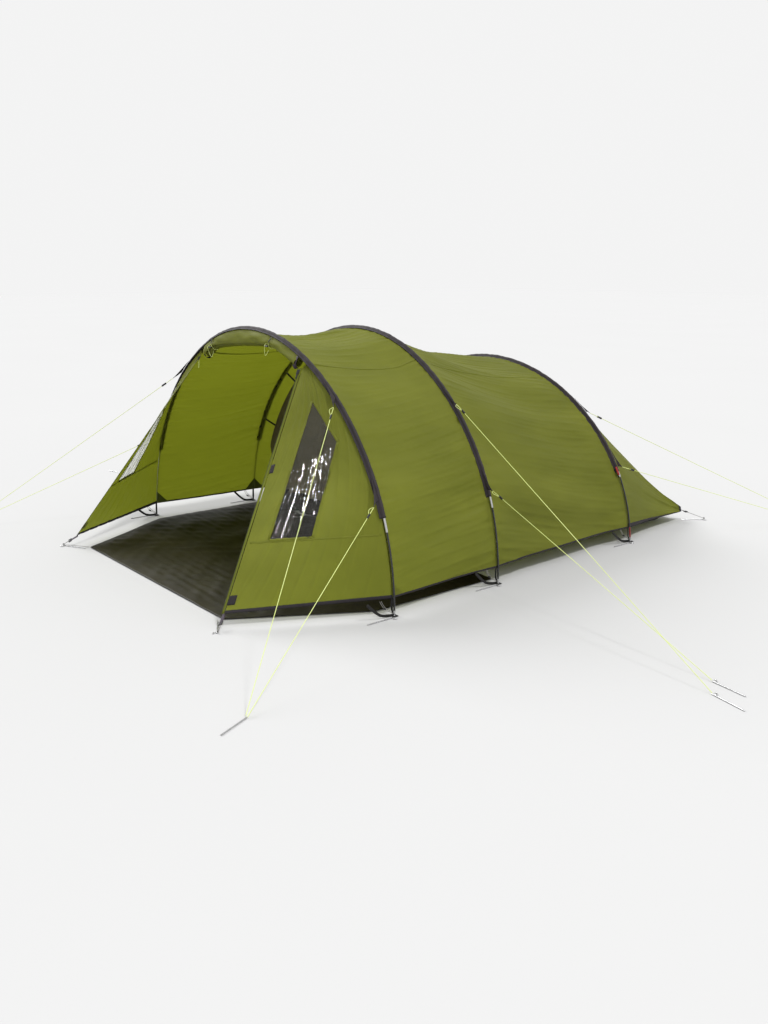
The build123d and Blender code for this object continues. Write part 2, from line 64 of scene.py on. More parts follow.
class Hoop:
    """A three-arc arch, as the CAD has it. turn is where a side arc meets the crest arc."""

    def __init__(self, y, half_span, height, turn, lean=0.0):
        self.y, self.a, self.h, self.lean = y, half_span, height, lean
        self.turn = turn
        step = (half_span - height) / (math.sin(turn) + math.cos(turn) - 1)
        self.side_r = half_span - step * math.cos(turn)
        self.crest_r = self.side_r + step

    def flat(self, s, offset=0.0, foot=HEM):
        """Points in the hoop's plane at fractions s of the arch, from the right hem over to the
        left, with the outward normals."""
        s = np.asarray(s, float)
        right = np.minimum(s, 1 - s)
        start = math.asin(foot / self.side_r)
        side = self.side_r * (self.turn - start)
        half = side + self.crest_r * (math.pi / 2 - self.turn)
        run = right * 2 * half
        low = run < side
        angle = np.where(
            low,
            start + run / self.side_r,
            self.turn + (run - side) / self.crest_r,
        )
        radius = np.where(low, self.side_r, self.crest_r) + offset
        x = np.where(low, self.a - self.side_r, 0) + radius * np.cos(angle)
        z = np.where(low, 0, self.h - self.crest_r) + radius * np.sin(angle)
        sign = np.where(s <= 0.5, 1.0, -1.0)
        return sign * x, z, sign * np.cos(angle), np.sin(angle)

    def points(self, s, offset=0.0, foot=HEM, forward=0.0):
        """The same points in space. forward moves them along the hoop's axis, to the porch."""
        x, up, _, _ = self.flat(s, offset, foot)
        y = self.y - up * math.sin(self.lean) - forward
        z = up * math.cos(self.lean) - forward * math.sin(self.lean)
        return np.stack(np.broadcast_arrays(x, y, z), -1)

    def normals(self, s, foot=HEM):
        _, _, nx, nz = self.flat(s, 0.0, foot)
        return np.stack([nx, -nz * math.sin(self.lean), nz * math.cos(self.lean)], -1)

    def length(self, foot=HEM):
        side = self.turn - math.asin(foot / self.side_r)
        return 2 * (self.side_r * side + self.crest_r * (math.pi / 2 - self.turn))

    def fraction(self, height):
        """The fraction of the arch, on the right, at this height in the hoop's plane."""
        s = np.linspace(0, 0.5, 2001)
        return float(np.interp(height, self.flat(s)[1], s))


def hoop(node, turn, lean=0.0):
    low, high = (Vector(c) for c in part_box(node))
    y = high.y - POLE_R + 0.022 * math.sin(lean) if lean else (low.y + high.y) / 2
    height = high.z / math.cos(lean) - POLE_R
    return Hoop(y, high.x - POLE_R, height, math.radians(turn), lean)


FRONT = hoop("front_pole", 66)
MIDDLE = hoop("middle_pole", 63)
REAR = hoop("rear_pole", 45, REAR_LEAN)


def add_object(name, data):
    obj = bpy.data.objects.new(name, data)
    bpy.context.scene.collection.objects.link(obj)
    return obj


# ---- camera ---------------------------------------------------------------------------
def add_camera():
    data = bpy.data.cameras.new("camera")
    data.sensor_width = 36
    data.lens = 33.27
    data.shift_x = 54 / 1024
    cam = add_object("camera", data)
    cam.location = (4.5363, FRONT.y - 2.9186, 1.6464)
    forward = Vector((-0.76893, 0.58967, -0.24704))
    cam.rotation_euler = forward.to_track_quat("-Z", "Y").to_euler()
    data.clip_end = 100
    bpy.context.scene.camera = cam


add_camera()


# ---- materials ------------------------------------------------------------------------
def srgb(r, g, b):
    def line(c):
        c /= 255
        return c / 12.92 if c <= 0.04045 else ((c + 0.055) / 1.055) ** 2.4

    return (line(r), line(g), line(b), 1.0)


class Nodes:
    """A small helper for building a material's node tree."""

    def __init__(self, name):
        self.material = bpy.data.materials.new(name)
        self.material.use_nodes = True
        self.tree = self.material.node_tree
        self.tree.nodes.clear()
        self.out = self.add("ShaderNodeOutputMaterial")
        self.shader = self.add("ShaderNodeBsdfPrincipled")
        self.link(self.shader.outputs[0], self.out.inputs[0])

    def add(self, kind, **settings):
        node = self.tree.nodes.new(kind)
        for key, value in settings.items():
            setattr(node, key, value)
        return node

    def link(self, a, b):
        self.tree.links.new(a, b)

    def set(self, **values):
        for key, value in values.items():
            self.shader.inputs[key.replace("_", " ")].default_value = value

    def math(self, op, a, b=0.0, c=0.0):
        node = self.add("ShaderNodeMath", operation=op)
        for socket, value in zip(node.inputs, (a, b, c)):
            if isinstance(value, (int, float)):
                socket.default_value = value
            else:
                self.link(value, socket)
        return node.outputs[0]

    def noise(self, vector, scale, detail=3.0, rough=0.5, distortion=0.0):
        node = self.add("ShaderNodeTexNoise")
        node.inputs["Scale"].default_value = scale
        node.inputs["Detail"].default_value = detail
        node.inputs["Roughness"].default_value = rough
        node.inputs["Distortion"].default_value = distortion
        self.link(vector, node.inputs["Vector"])
        return node.outputs["Fac"]

    def ramp(self, value, stops):
        node = self.add("ShaderNodeValToRGB")
        ramp = node.color_ramp
        while len(ramp.elements) < len(stops):
            ramp.elements.new(0.5)
        for element, (place, colour) in zip(ramp.elements, stops):
            element.position, element.color = place, colour
        self.link(value, node.inputs[0])
        return node.outputs[0]

    def bump(self, height, strength, distance):
        node = self.add("ShaderNodeBump")
        node.inputs["Strength"].default_value = strength
        node.inputs["Distance"].default_value = distance
        self.link(height, node.inputs["Height"])
        self.link(node.outputs[0], self.shader.inputs["Normal"])
        return node

    def scaled(self, x, y, z, source="UV"):
        coords = self.add("ShaderNodeTexCoord")
        mapping = self.add("ShaderNodeMapping")
        mapping.inputs["Scale"].default_value = (x, y, z)
        self.link(coords.outputs[source], mapping.inputs["Vector"])
        return mapping.outputs[0]

    def split(self, vector):
        node = self.add("ShaderNodeSeparateXYZ")
        self.link(vector, node.inputs[0])
        return node.outputs

    def colour(self, socket):
        self.link(socket, self.shader.inputs["Base Color"])

    def see_light(self, colour, share):
        """Mixes in light that comes through from behind."""
        thin = self.add("ShaderNodeBsdfTranslucent")
        if isinstance(colour, tuple):
            thin.inputs[0].default_value = colour
        else:
            self.link(colour, thin.inputs[0])
        normal = self.shader.inputs["Normal"]
        if normal.is_linked:
            self.link(normal.links[0].from_socket, thin.inputs["Normal"])
        mix = self.add("ShaderNodeMixShader")
        mix.inputs[0].default_value = share
        self.link(self.shader.outputs[0], mix.inputs[1])
        self.link(thin.outputs[0], mix.inputs[2])
        self.link(mix.outputs[0], self.out.inputs[0])


def weave(n, pitch):
    """The height of a plain weave on UVs in metres."""
    u, v, _ = n.split(n.scaled(1, 1, 1))
    turn = 2 * math.pi / pitch
    warp = n.math("SINE", n.math("MULTIPLY", u, turn))
    weft = n.math("SINE", n.math("MULTIPLY", v, turn))
    return n.math("MULTIPLY_ADD", n.math("MULTIPLY", warp, weft), 0.5, 0.5)


def stitch_mask(n, places, along="X", across="Y", pitch=0.009, half=0.0011):
    """1 on the stitches of rows that run at these places across the UVs, in metres."""
    u, v, _ = n.split(n.scaled(1, 1, 1))
    run, side = (u, v) if along == "X" else (v, u)
    dash = n.math("GREATER_THAN", n.math("FRACT", n.math("MULTIPLY", run, 1 / pitch)), 0.38)
    total = None
    for place in places:
        near = n.math("LESS_THAN", n.math("ABSOLUTE", n.math("SUBTRACT", side, place)), half)
        total = near if total is None else n.math("MAXIMUM", total, near)
    return n.math("MULTIPLY", total, dash)


def cloth(
    name, dark, light, rough=0.6, sheen=0.08, pitch=0.0016, through=0.0, glow=None, mottle=3.0,
    stitches=(), thread=None, spec=0.3,
):
    n = Nodes(name)
    patches = n.noise(n.scaled(mottle, mottle * 0.4, 1), 1.0, 5.0, 0.6)
    colour = n.ramp(patches, [(0.3, dark), (0.7, light)])
    fine = n.noise(n.scaled(260, 260, 1), 1.0, 2.0)
    height = n.math("ADD", weave(n, pitch), n.math("MULTIPLY", fine, 0.6))
    if stitches:
        mask = stitch_mask(n, stitches)
        mix = n.add("ShaderNodeMix", data_type="RGBA")
        n.link(mask, mix.inputs[0])
        n.link(colour, mix.inputs[6])
        mix.inputs[7].default_value = thread or tuple(c * 0.45 for c in dark[:3]) + (1.0,)
        colour = mix.outputs[2]
        height = n.math("ADD", height, n.math("MULTIPLY", mask, 2.0))
    n.colour(colour)
    n.set(Roughness=rough, Sheen_Weight=sheen, Sheen_Roughness=0.4, Specular_IOR_Level=spec)
    n.bump(height, 0.22, 0.0004)
    if through:
        n.see_light(glow or colour, through)
    return n.material


def plain(name, colour, rough, metallic=0.0, grain=400.0, depth=0.00015, coat=0.0):
    """A moulded, turned or drawn surface with a fine grain and uneven gloss."""
    n = Nodes(name)
    place = n.scaled(grain, grain, grain, "Object")
    spots = n.noise(place, 1.0, 3.0)
    dim = tuple(c * 0.7 for c in colour[:3]) + (1.0,)
    n.colour(n.ramp(spots, [(0.25, dim), (0.75, colour)]))
    low, high = max(rough - 0.08, 0.02), min(rough + 0.1, 1.0)
    gloss = n.noise(n.scaled(30, 30, 30, "Object"), 1.0, 3.0)
    n.link(
        n.ramp(gloss, [(0.3, (low,) * 3 + (1,)), (0.7, (high,) * 3 + (1,))]),
        n.shader.inputs["Roughness"],
    )
    n.set(Metallic=metallic, Coat_Weight=coat)
    n.bump(spots, 0.3, depth)
    return n.material


OLIVE_DARK, OLIVE = srgb(120, 125, 42), srgb(142, 146, 54)
GLOW = srgb(190, 196, 100)
FLY_CLOTH = cloth("fly_cloth", OLIVE_DARK, OLIVE, 0.5, 0.02, through=0.55, glow=GLOW, spec=0.25)
PATCH_CLOTH = cloth("patch_cloth", srgb(70, 78, 18), srgb(82, 90, 24), 0.6, 0.05)
SLEEVE_CLOTH = cloth(
    "sleeve_cloth", srgb(29, 24, 26), srgb(47, 40, 43), 0.62, 0.03, pitch=0.0024,
    stitches=(-0.0165, 0.0165), thread=srgb(24, 20, 24),
)
BINDING = cloth("binding", srgb(25, 21, 24), srgb(42, 37, 41), 0.7, 0.02, pitch=0.003)
WEBBING = cloth("webbing", srgb(16, 15, 15), srgb(30, 29, 28), 0.6, 0.1, pitch=0.004)
PURPLE_WEBBING = cloth("purple_webbing", srgb(44, 34, 46), srgb(62, 50, 66), 0.65, 0.1, pitch=0.004)
RED_WEBBING = cloth("red_webbing", srgb(120, 22, 20), srgb(150, 34, 30), 0.65, 0.1, pitch=0.004)
GROUND_CLOTH = cloth(
    "ground_cloth", srgb(27, 24, 10), srgb(38, 35, 17), 0.55, 0.0, pitch=0.003, mottle=5.0, spec=0.2
)
INNER_CLOTH = cloth(
    "inner_cloth", srgb(116, 106, 78), srgb(132, 122, 92), 0.75, 0.05, through=0.4, glow=srgb(150, 140, 104)
)
POLE_BLACK = plain("pole_black", srgb(22, 22, 24), 0.28, coat=0.3)
STEEL = plain("steel", srgb(205, 205, 206), 0.3, metallic=1.0)
BLACK_PLASTIC = plain("black_plastic_part", srgb(20, 20, 22), 0.45)
NEON = cloth("neon_cord", srgb(200, 214, 116), srgb(222, 232, 158), 0.6, 0.1, pitch=0.002)
GREY_ELASTIC = cloth("grey_elastic", srgb(118, 116, 112), srgb(150, 148, 144), 0.7, 0.2, pitch=0.0015)


def rear_pole_finish():
    """Black like the others, with the red lowest end that marks the rear pole."""
    n = Nodes("rear_pole_finish")
    _, _, z = n.split(n.scaled(1, 1, 1, "Object"))
    step = n.ramp(z, [(0.094, srgb(132, 22, 20)), (0.096, srgb(22, 22, 24))])
    n.colour(step)
    spots = n.noise(n.scaled(400, 400, 400, "Object"), 1.0, 3.0)
    n.set(Roughness=0.3, Coat_Weight=0.3)
    n.bump(spots, 0.3, 0.00015)
    return n.material


REAR_POLE = rear_pole_finish()


# ---- mesh helpers ---------------------------------------------------------------------
def ripple(x, y, count, low, high, seed):
    """Smooth, aimless waves: a sum of sines whose wave numbers lie between low and high."""
    rng = np.random.default_rng(seed)
    total = np.zeros(np.broadcast(x, y).shape)
    for _ in range(count):
        k, way = rng.uniform(low, high), rng.uniform(0, 2 * math.pi)
        total += np.sin(k * (x * math.cos(way) + y * math.sin(way)) + rng.uniform(0, 6.28))
    return total / math.sqrt(count)


def add_mesh(name, verts, faces, material, uvs=None, smooth=True):
    mesh = bpy.data.meshes.new(name)
    mesh.from_pydata([tuple(v) for v in verts], [], faces)
    mesh.materials.append(material)
    if uvs is not None:
        layer = mesh.uv_layers.new(name="UVMap")
        index = np.zeros(len(mesh.loops), int)
        mesh.loops.foreach_get("vertex_index", index)
        layer.data.foreach_set("uv", np.asarray(uvs, np.float32)[index].ravel())
    if smooth:
        mesh.polygons.foreach_set("use_smooth", [True] * len(mesh.polygons))
    mesh.update()
    return add_object(name, mesh)


def grid(name, points, uvs, material, close=False):
    """A sheet from an array of points, rows by columns. close joins the last column to the first."""
    rows, cols = points.shape[:2]
    last = cols if close else cols - 1
    faces = [
        (r * cols + c, r * cols + (c + 1) % cols, (r + 1) * cols + (c + 1) % cols, (r + 1) * cols + c)
        for r in range(rows - 1)
        for c in range(last)
    ]
    return add_mesh(name, points.reshape(-1, 3), faces, material, uvs.reshape(-1, 2))


def unit(v):
    return v / np.maximum(np.linalg.norm(v, axis=-1, keepdims=True), 1e-9)


def sheet_normals(points):
    across = np.gradient(points, axis=0)
    along = np.gradient(points, axis=1)
    return unit(np.cross(across, along))


def thicken(obj, thickness, offset=0.0):
    mod = obj.modifiers.new("cloth", "SOLIDIFY")
    mod.thickness, mod.offset = thickness, offset
    mod.use_quality_normals = True
    return obj


def tube(name, path, radius, material, sides=10, caps=True):
    """A round tube along points, with UVs in metres."""
    path = np.asarray(path, float)
    radius = np.broadcast_to(radius, len(path))
    tangent = unit(np.gradient(path, axis=0))
    up = np.array([0, 0, 1.0]) if abs(tangent[0][2]) < 0.9 else np.array([1.0, 0, 0])
    rings = []
    for p, t, r in zip(path, tangent, radius):
        side = unit(np.cross(t, up))
        up = unit(np.cross(side, t))
        turn = np.linspace(0, 2 * math.pi, sides, endpoint=False)[:, None]
        rings.append(p + r * (np.cos(turn) * side + np.sin(turn) * up))
    run = np.concatenate([[0], np.cumsum(np.linalg.norm(np.diff(path, axis=0), axis=1))])
    uvs = np.stack(
        np.broadcast_arrays(run[:, None], np.linspace(0, 2 * math.pi * radius[0], sides)[None]), -1
    )
    obj = grid(name, np.array(rings), uvs, material, close=True)
    if caps:
        bm = bmesh.new()
        bm.from_mesh(obj.data)
        bmesh.ops.holes_fill(bm, edges=[e for e in bm.edges if e.is_boundary])
        bm.to_mesh(obj.data)
        bm.free()
    return obj


def ribbon(name, path, wide, width, thick, material, bow=0.0):
    """A flat band along points. wide is the way its width points, at each point or for all."""
    path = np.asarray(path, float)
    wide = unit(np.broadcast_to(np.asarray(wide, float), path.shape))
    tangent = unit(np.gradient(path, axis=0))
    wide = unit(wide - tangent * (wide * tangent).sum(1, keepdims=True))
    across = np.linspace(-0.5, 0.5, 5)
    normal = np.cross(tangent, wide)
    hump = bow * (1 - (2 * across) ** 2)
    points = path[:, None] + across[None, :, None] * width * wide[:, None]
    points = points + hump[None, :, None] * normal[:, None]
    run = np.concatenate([[0], np.cumsum(np.linalg.norm(np.diff(path, axis=0), axis=1))])
    uvs = np.stack(np.broadcast_arrays(run[:, None], (across * width)[None]), -1)
    return thicken(grid(name, points, uvs, material), thick)


def join(name, objects):
    """Joins meshes, with their modifiers applied, into one piece."""
    graph = bpy.context.evaluated_depsgraph_get()
    bm = bmesh.new()
    materials = []
    for obj in objects:
        mesh = bpy.data.meshes.new_from_object(obj.evaluated_get(graph))
        material = mesh.materials[0]
        if material not in materials:
            materials.append(material)
        index = materials.index(material)
        mesh.polygons.foreach_set("material_index", [index] * len(mesh.polygons))
        bm.from_mesh(mesh)
        bpy.data.meshes.remove(mesh)
    mesh = bpy.data.meshes.new(name)
    for material in materials:
        mesh.materials.append(material)
    bm.to_mesh(mesh)
    bm.free()
    for obj in objects:
        bpy.data.objects.remove(obj)
    return add_object(name, mesh)


def flip_x(obj):
    """Turns a mesh piece over to the other side, with its faces the right way out."""
    obj.data.transform(((-1, 0, 0, 0), (0, 1, 0, 0), (0, 0, 1, 0), (0, 0, 0, 1)))
    obj.data.flip_normals()


def mirrored(obj, name):
    """A copy of a mesh piece on the other side."""
    copy = obj.copy()
    copy.data = obj.data.copy()
    copy.name = copy.data.name = name
    flip_x(copy)
    bpy.context.scene.collection.objects.link(copy)
    return copy


# ---- guy lines ------------------------------------------------------------------------
GUY_D = 0.003
GUYS = [f"{hoop}_{place}_{side}" for hoop in ("front", "middle", "rear")
        for place in ("upper", "lower") for side in ("right", "left")]
BODY = {"front": "front_hoop", "middle": "middle_hoop", "rear": "root"}


def node_ends(node):
    """The two ends of a straight CAD tube: the mean of its points near each end of its length."""
    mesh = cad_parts[node].data
    co = np.empty(len(mesh.vertices) * 3)
    mesh.vertices.foreach_get("co", co)
    co = co.reshape(-1, 3)
    centre = co.mean(0)
    way = np.linalg.svd(co - centre)[2][0]
    run = (co - centre) @ way
    ends = [co[run > run.max() - 0.001].mean(0), co[run < run.min() + 0.001].mean(0)]
    return sorted(ends, key=lambda p: -p[2])


def curve(name, points, diameter, material):
    """A cord on one smooth spline."""
    data = bpy.data.curves.new(name, "CURVE")
    data.dimensions = "3D"
    data.bevel_depth = diameter / 2
    data.bevel_resolution = 3
    data.use_fill_caps = True
    data.materials.append(material)
    spline = data.splines.new("NURBS")
    spline.points.add(len(points) - 1)
    for p, c in zip(spline.points, points):
        p.co = (*c, 1)
    spline.order_u = 3
    spline.use_endpoint_u = True
    return add_object(name, data)


def guy_line(guy):
    top, peg = node_ends(f"guy_{guy}")
    line = curve(f"line_{guy}", [top, (top + peg) / 2, peg], GUY_D, NEON)
    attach(line, BODY[guy.split("_")[0]])
    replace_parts(line, f"guy_{guy}")


for guy in GUYS:
    guy_line(guy)


# ---- fly ------------------------------------------------------------------------------
FRONT_SAG, MIDDLE_SAG = 0.045, 0.06
REAR_EDGE = (1.039, FRONT.y + 2.772, 0.06, 0.095)  # half width, y, low and high z
SLEEVE_HALF = 0.02


def between(a, b, t, sag):
    """The fly's arch at the fraction t of the way from hoop a to hoop b."""
    hang = 4 * t * (1 - t) * sag
    mix = lambda p, q: p + (q - p) * t
    return Hoop(
        mix(a.y, b.y),
        mix(a.a, b.a) - SIDE_SHARE * hang,
        mix(a.h, b.h) - hang,
        mix(a.turn, b.turn),
        mix(a.lean, b.lean),
    )


def fade(t, width):
    """Rises from 0 at both ends of 0 to 1 to 1 further in than width."""
    edge = np.clip(np.minimum(t, 1 - t) / width, 0, 1)
    return edge * edge * (3 - 2 * edge)


def ridges(x, y, count, low, high, slant, seed):
    """Sharp, narrow tension creases that run mainly along y, at about this slant."""
    rng = np.random.default_rng(seed)
    total = np.zeros(np.broadcast(x, y).shape)
    for _ in range(count):
        k, way = rng.uniform(low, high), slant + rng.normal(0, 0.05)
        wave = np.sin(k * (x + y * way) + rng.uniform(0, 6.28))
        where = ripple(x, y, 3, 2, 7, rng.integers(1000))
        total += (1 - abs(wave)) ** 3 * np.clip(where, 0, 1.2)
    return total / math.sqrt(count)


def creases(arc, y, t, seed, slant=0.0, slack=1.0):
    """How far tensioned cloth between two hoops stands off its smooth shape."""
    lean = arc + y * slant
    long = ripple(lean, y * 0.12, 9, 8, 30, seed) * 0.0085
    soft = ripple(lean, y * 0.8, 6, 4, 11, seed + 1) * 0.0070
    fine = ripple(lean, y * 0.4, 12, 40, 110, seed + 2) * 0.0004
    sharp = ridges(arc, y, 9, 14, 60, slant, seed + 4) * 0.0095
    near = np.exp(-np.minimum(t, 1 - t) / 0.09)
    pucker = ripple(arc, y * 0.15, 8, 60, 150, seed + 3) * 0.0028 * near
    return (fade(t, 0.2) * (long + soft) + fade(t, 0.09) * sharp) * slack + fade(t, 0.04) * (fine + pucker)


def bay_surface(a, b, sag, seed, slant):
    """The bay as a function of the fractions s, over the arch, and t, from hoop a to hoop b."""
    rows = np.linspace(0, 1, 97)
    cols = np.linspace(0, 1, 481)
    sheet = np.array([between(a, b, t, sag).points(cols, -FLY) for t in rows])
    out = np.array([between(a, b, t, sag).normals(cols) for t in rows])
    arc = cols[None] * a.length()
    y = np.linspace(a.y, b.y, len(rows))[:, None]
    wave = creases(arc, y - a.y, rows[:, None], seed, slant * np.sign(0.5 - cols)[None])
    sheet = sheet + out * wave[..., None]
    return lookup(sheet)


def lookup(sheet):
    """Turns a finely sampled sheet into a smooth function of (s, t), with a lift along normals."""
    normal = sheet_normals(sheet)
    if (normal[len(sheet) // 2, 0] * (1, 0, 0)).sum() < 0:
        normal = -normal
    rows, cols = sheet.shape[:2]

    def sample(table, s, t):
        s, t = np.broadcast_arrays(np.asarray(s, float), np.asarray(t, float))
        x, y = np.clip(s, 0, 1) * (cols - 1), np.clip(t, 0, 1) * (rows - 1)
        i, j = np.minimum(x.astype(int), cols - 2), np.minimum(y.astype(int), rows - 2)
        fx, fy = (x - i)[..., None], (y - j)[..., None]
        low = table[j, i] * (1 - fx) + table[j, i + 1] * fx
        high = table[j + 1, i] * (1 - fx) + table[j + 1, i + 1] * fx
        return low * (1 - fy) + high * fy

    def surface(s, t, lift=0.0):
        lift = np.asarray(lift, float)
        return sample(sheet, s, t) + sample(normal, s, t) * lift[..., None]

    return surface


def run_length(points, axis):
    step = np.linalg.norm(np.diff(points, axis=axis), axis=-1)
    total = np.cumsum(step, axis=axis)
    pad = [(0, 0), (0, 0)]
    pad[axis] = (1, 0)
    return np.pad(total, pad)


def measured(points):
    """UVs in metres along the rows and columns of a sheet's points."""
    return np.stack([run_length(points, 1), run_length(points, 0)], -1)


def sewn(name, points, material, thick):
    """A sheet of cloth with a thickness, from rows of points."""
    return thicken(grid(name, points, measured(points), material), thick)


def patch(name, surface, s, t, material, lift=0.0, thick=0.0012):
    """A strip or sheet on a surface, over arrays of s and t."""
    points = surface(np.asarray(s)[None, :], np.asarray(t)[:, None], lift)
    return sewn(name, points, material, thick)


def smoothed(values, width):
    """A running mean over width samples that counts the middle ones most."""
    kernel = np.hanning(width)
    return np.convolve(np.pad(values, width // 2, "edge"), kernel / kernel.sum(), "valid")


def rear_surface():
    """From the rear hoop down to a low straight edge, whose corners are pegged out."""
    half, y_edge, low, high = REAR_EDGE
    rows, cols = np.linspace(0, 1, 81), np.linspace(0, 1, 481)
    top = REAR.points(cols, -FLY)
    side = (REAR.turn - math.asin(HEM / REAR.side_r)) * REAR.side_r / REAR.length()
    stops = [0, side, 1 - side, 1]
    x = smoothed(np.interp(cols, stops, [half, half - 0.007, 0.007 - half, -half]), 41)
    z = smoothed(np.interp(cols, stops, [low, high, high, low]), 41)
    foot = np.stack([x, np.full_like(x, y_edge), z], -1)
    t = rows[:, None, None]
    sheet = top[None] * (1 - t) + foot[None] * t
    out = sheet_normals(sheet)
    if out[40, 0, 0] < 0:
        out = -out
    arc = cols[None] * REAR.length()
    run = rows[:, None] * 0.9
    hang = 4 * run * (0.9 - run) / 0.81 * (0.012 + 0.014 * np.sin(math.pi * cols[None]))
    sheet = sheet + out * (creases(arc, run, rows[:, None], 50, 0.0, 0.7) - hang)[..., None]
    return lookup(sheet)


FRONT_BAY = bay_surface(FRONT, MIDDLE, FRONT_SAG, 10, -0.12)
MIDDLE_BAY = bay_surface(MIDDLE, REAR, MIDDLE_SAG, 30, 0.22)
REAR_BAY = rear_surface()


def hem_strips(name, surface, length, depth=0.010, t=(0, 1)):
    """Binding folded round the lower edge on both sides of a bay."""
    share = depth / length
    run = np.linspace(*t, 90)
    strips = []
    for s in (np.linspace(0, share, 4), np.linspace(1 - share, 1, 4)):
        for lift in (BINDING_LIFT, -BINDING_LIFT):
            strips.append(patch(name, surface, s, run, BINDING, lift, BINDING_THICK))
    return join(name, strips)


def seam(name, surface, s, length, width=0.012, t=(0.02, 0.98)):
    """A flat-felled seam that runs from hoop to hoop: a narrow second layer of cloth."""
    share = width / length / 2
    across = np.linspace(s - share, s + share, 4)
    return patch(name, surface, across, np.linspace(*t, 120), FLY_CLOTH, SEAM_THICK, SEAM_THICK)


def corner_patch(name, surface, side, end, length, width, size=0.085):
    """A triangle that reinforces the hem where it meets a hoop, on the inside."""
    rows = []
    for f in np.linspace(0, 1, 12):
        t = f * size / width
        s = np.linspace(0, (1 - f) * size / length, 8)
        s = s if side > 0 else 1 - s
        rows.append(np.stack(np.broadcast_arrays(s, t if end == 0 else 1 - t), -1))
    st = np.array(rows)
    points = surface(st[..., 0], st[..., 1], -0.0016)
    return sewn(name, points, PATCH_CLOTH, 0.001)


SEAM_HEIGHT = 1.19


def add_bay(name, node, surface, a, b, flat):
    s, t = np.linspace(0, 1, 481), np.linspace(0, 1, 97)
    sheet = patch(name, surface, s, t, FLY_CLOTH, thick=CLOTH_THICK)
    hem = hem_strips(f"{name}_hem", surface, a.length())
    at = FRONT.fraction(SEAM_HEIGHT)
    details = [seam("seam", surface, f, a.length()) for f in (at, 1 - at)]
    for side in (1, -1):
        for end in (0, 1):
            details.append(corner_patch("patch", surface, side, end, a.length(), flat[1]))
    trim = join(f"{name}_seams", details)
    for piece in (sheet, hem, trim):
        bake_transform(piece)
    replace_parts(sheet, node)
    f"{a_name(a)}_pole"
    f"{a_name(b)}_pole"


def a_name(hoop):
    return {id(FRONT): "front", id(MIDDLE): "middle", id(REAR): "rear"}[id(hoop)]


def sheet_size(surface, s=(0, 1), t=(0, 1)):
    """The middle width and length of a surface patch, and its area."""
    points = surface(np.linspace(*s, 200)[None, :], np.linspace(*t, 80)[:, None])
    across = np.linalg.norm(np.diff(points, axis=1), axis=-1).sum(1)
    along = np.linalg.norm(np.diff(points, axis=0), axis=-1).sum(0)
    a = points[1:, 1:] - points[:-1, :-1]
    b = points[1:, :-1] - points[:-1, 1:]
    area = float(np.linalg.norm(np.cross(a, b), axis=-1).sum() / 2)
    return float(across.max()), float(along.max()), area


def add_fly():
    for name, node, surface, a, b, bodies in (
        ("front_bay", "fly_front_bay", FRONT_BAY, FRONT, MIDDLE, ("front_hoop", "middle_hoop")),
        ("middle_bay", "fly_middle_bay", MIDDLE_BAY, MIDDLE, REAR, ("middle_hoop", "root")),
    ):
        wide, long, area = sheet_size(surface)
        add_bay(name, node, surface, a, b, (wide, long))
    s, t = np.linspace(0, 1, 361), np.linspace(0, 1, 61)
    rear = patch("rear_panel", REAR_BAY, s, t, FLY_CLOTH, thick=CLOTH_THICK)
    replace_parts(rear, "fly_rear_panel")
    wide, long, area = sheet_size(REAR_BAY)
    edge = patch("rear_edge", REAR_BAY, s, np.linspace(0.97, 1, 4), BINDING, BINDING_LIFT, BINDING_THICK)
    sides = hem_strips("rear_side_hem", REAR_BAY, REAR.length(), 0.028, (0, 1))
    hem = join("rear_hem", [edge, sides])
    for piece in (rear, hem):
        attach(piece, "root")


add_fly()


# ---- sleeves and guy tabs -------------------------------------------------------------
GUY_TAB = {"front": 0.08, "middle": 0.034, "rear": 0.034}


def sleeve_surface(hoop, s0):
    """A band of cloth over the pole: flat at its sewn edges, humped where the pole runs."""
    s = np.linspace(s0, 1 - s0, 420)
    w = np.linspace(-1, 1, 15)
    arc = s * hoop.length()
    x, up, nx, nz = hoop.flat(s)
    rows = []
    for v in w:
        across = v * SLEEVE_HALF + 0.0006 * ripple(arc, np.zeros_like(arc), 5, 60, 160, 70)
        hump = -FLY + 0.0015 + 0.0155 * np.exp(-((v / 0.52) ** 4))
        pinch = 0.0009 * ripple(arc, np.full_like(arc, v * 0.02), 8, 90, 260, 71) * (1 - abs(v)) ** 0.5
        edge = 0.0007 * ripple(arc, np.full_like(arc, v * 0.02), 8, 150, 420, 72) * abs(v)
        lift = hump + pinch + edge
        px, pz = x + nx * lift, up + nz * lift
        rows.append(
            np.stack(
                [
                    px,
                    hoop.y - pz * math.sin(hoop.lean) - across,
                    pz * math.cos(hoop.lean) - across * math.sin(hoop.lean),
                ],
                -1,
            )
        )
    return np.array(rows), arc, w * SLEEVE_HALF


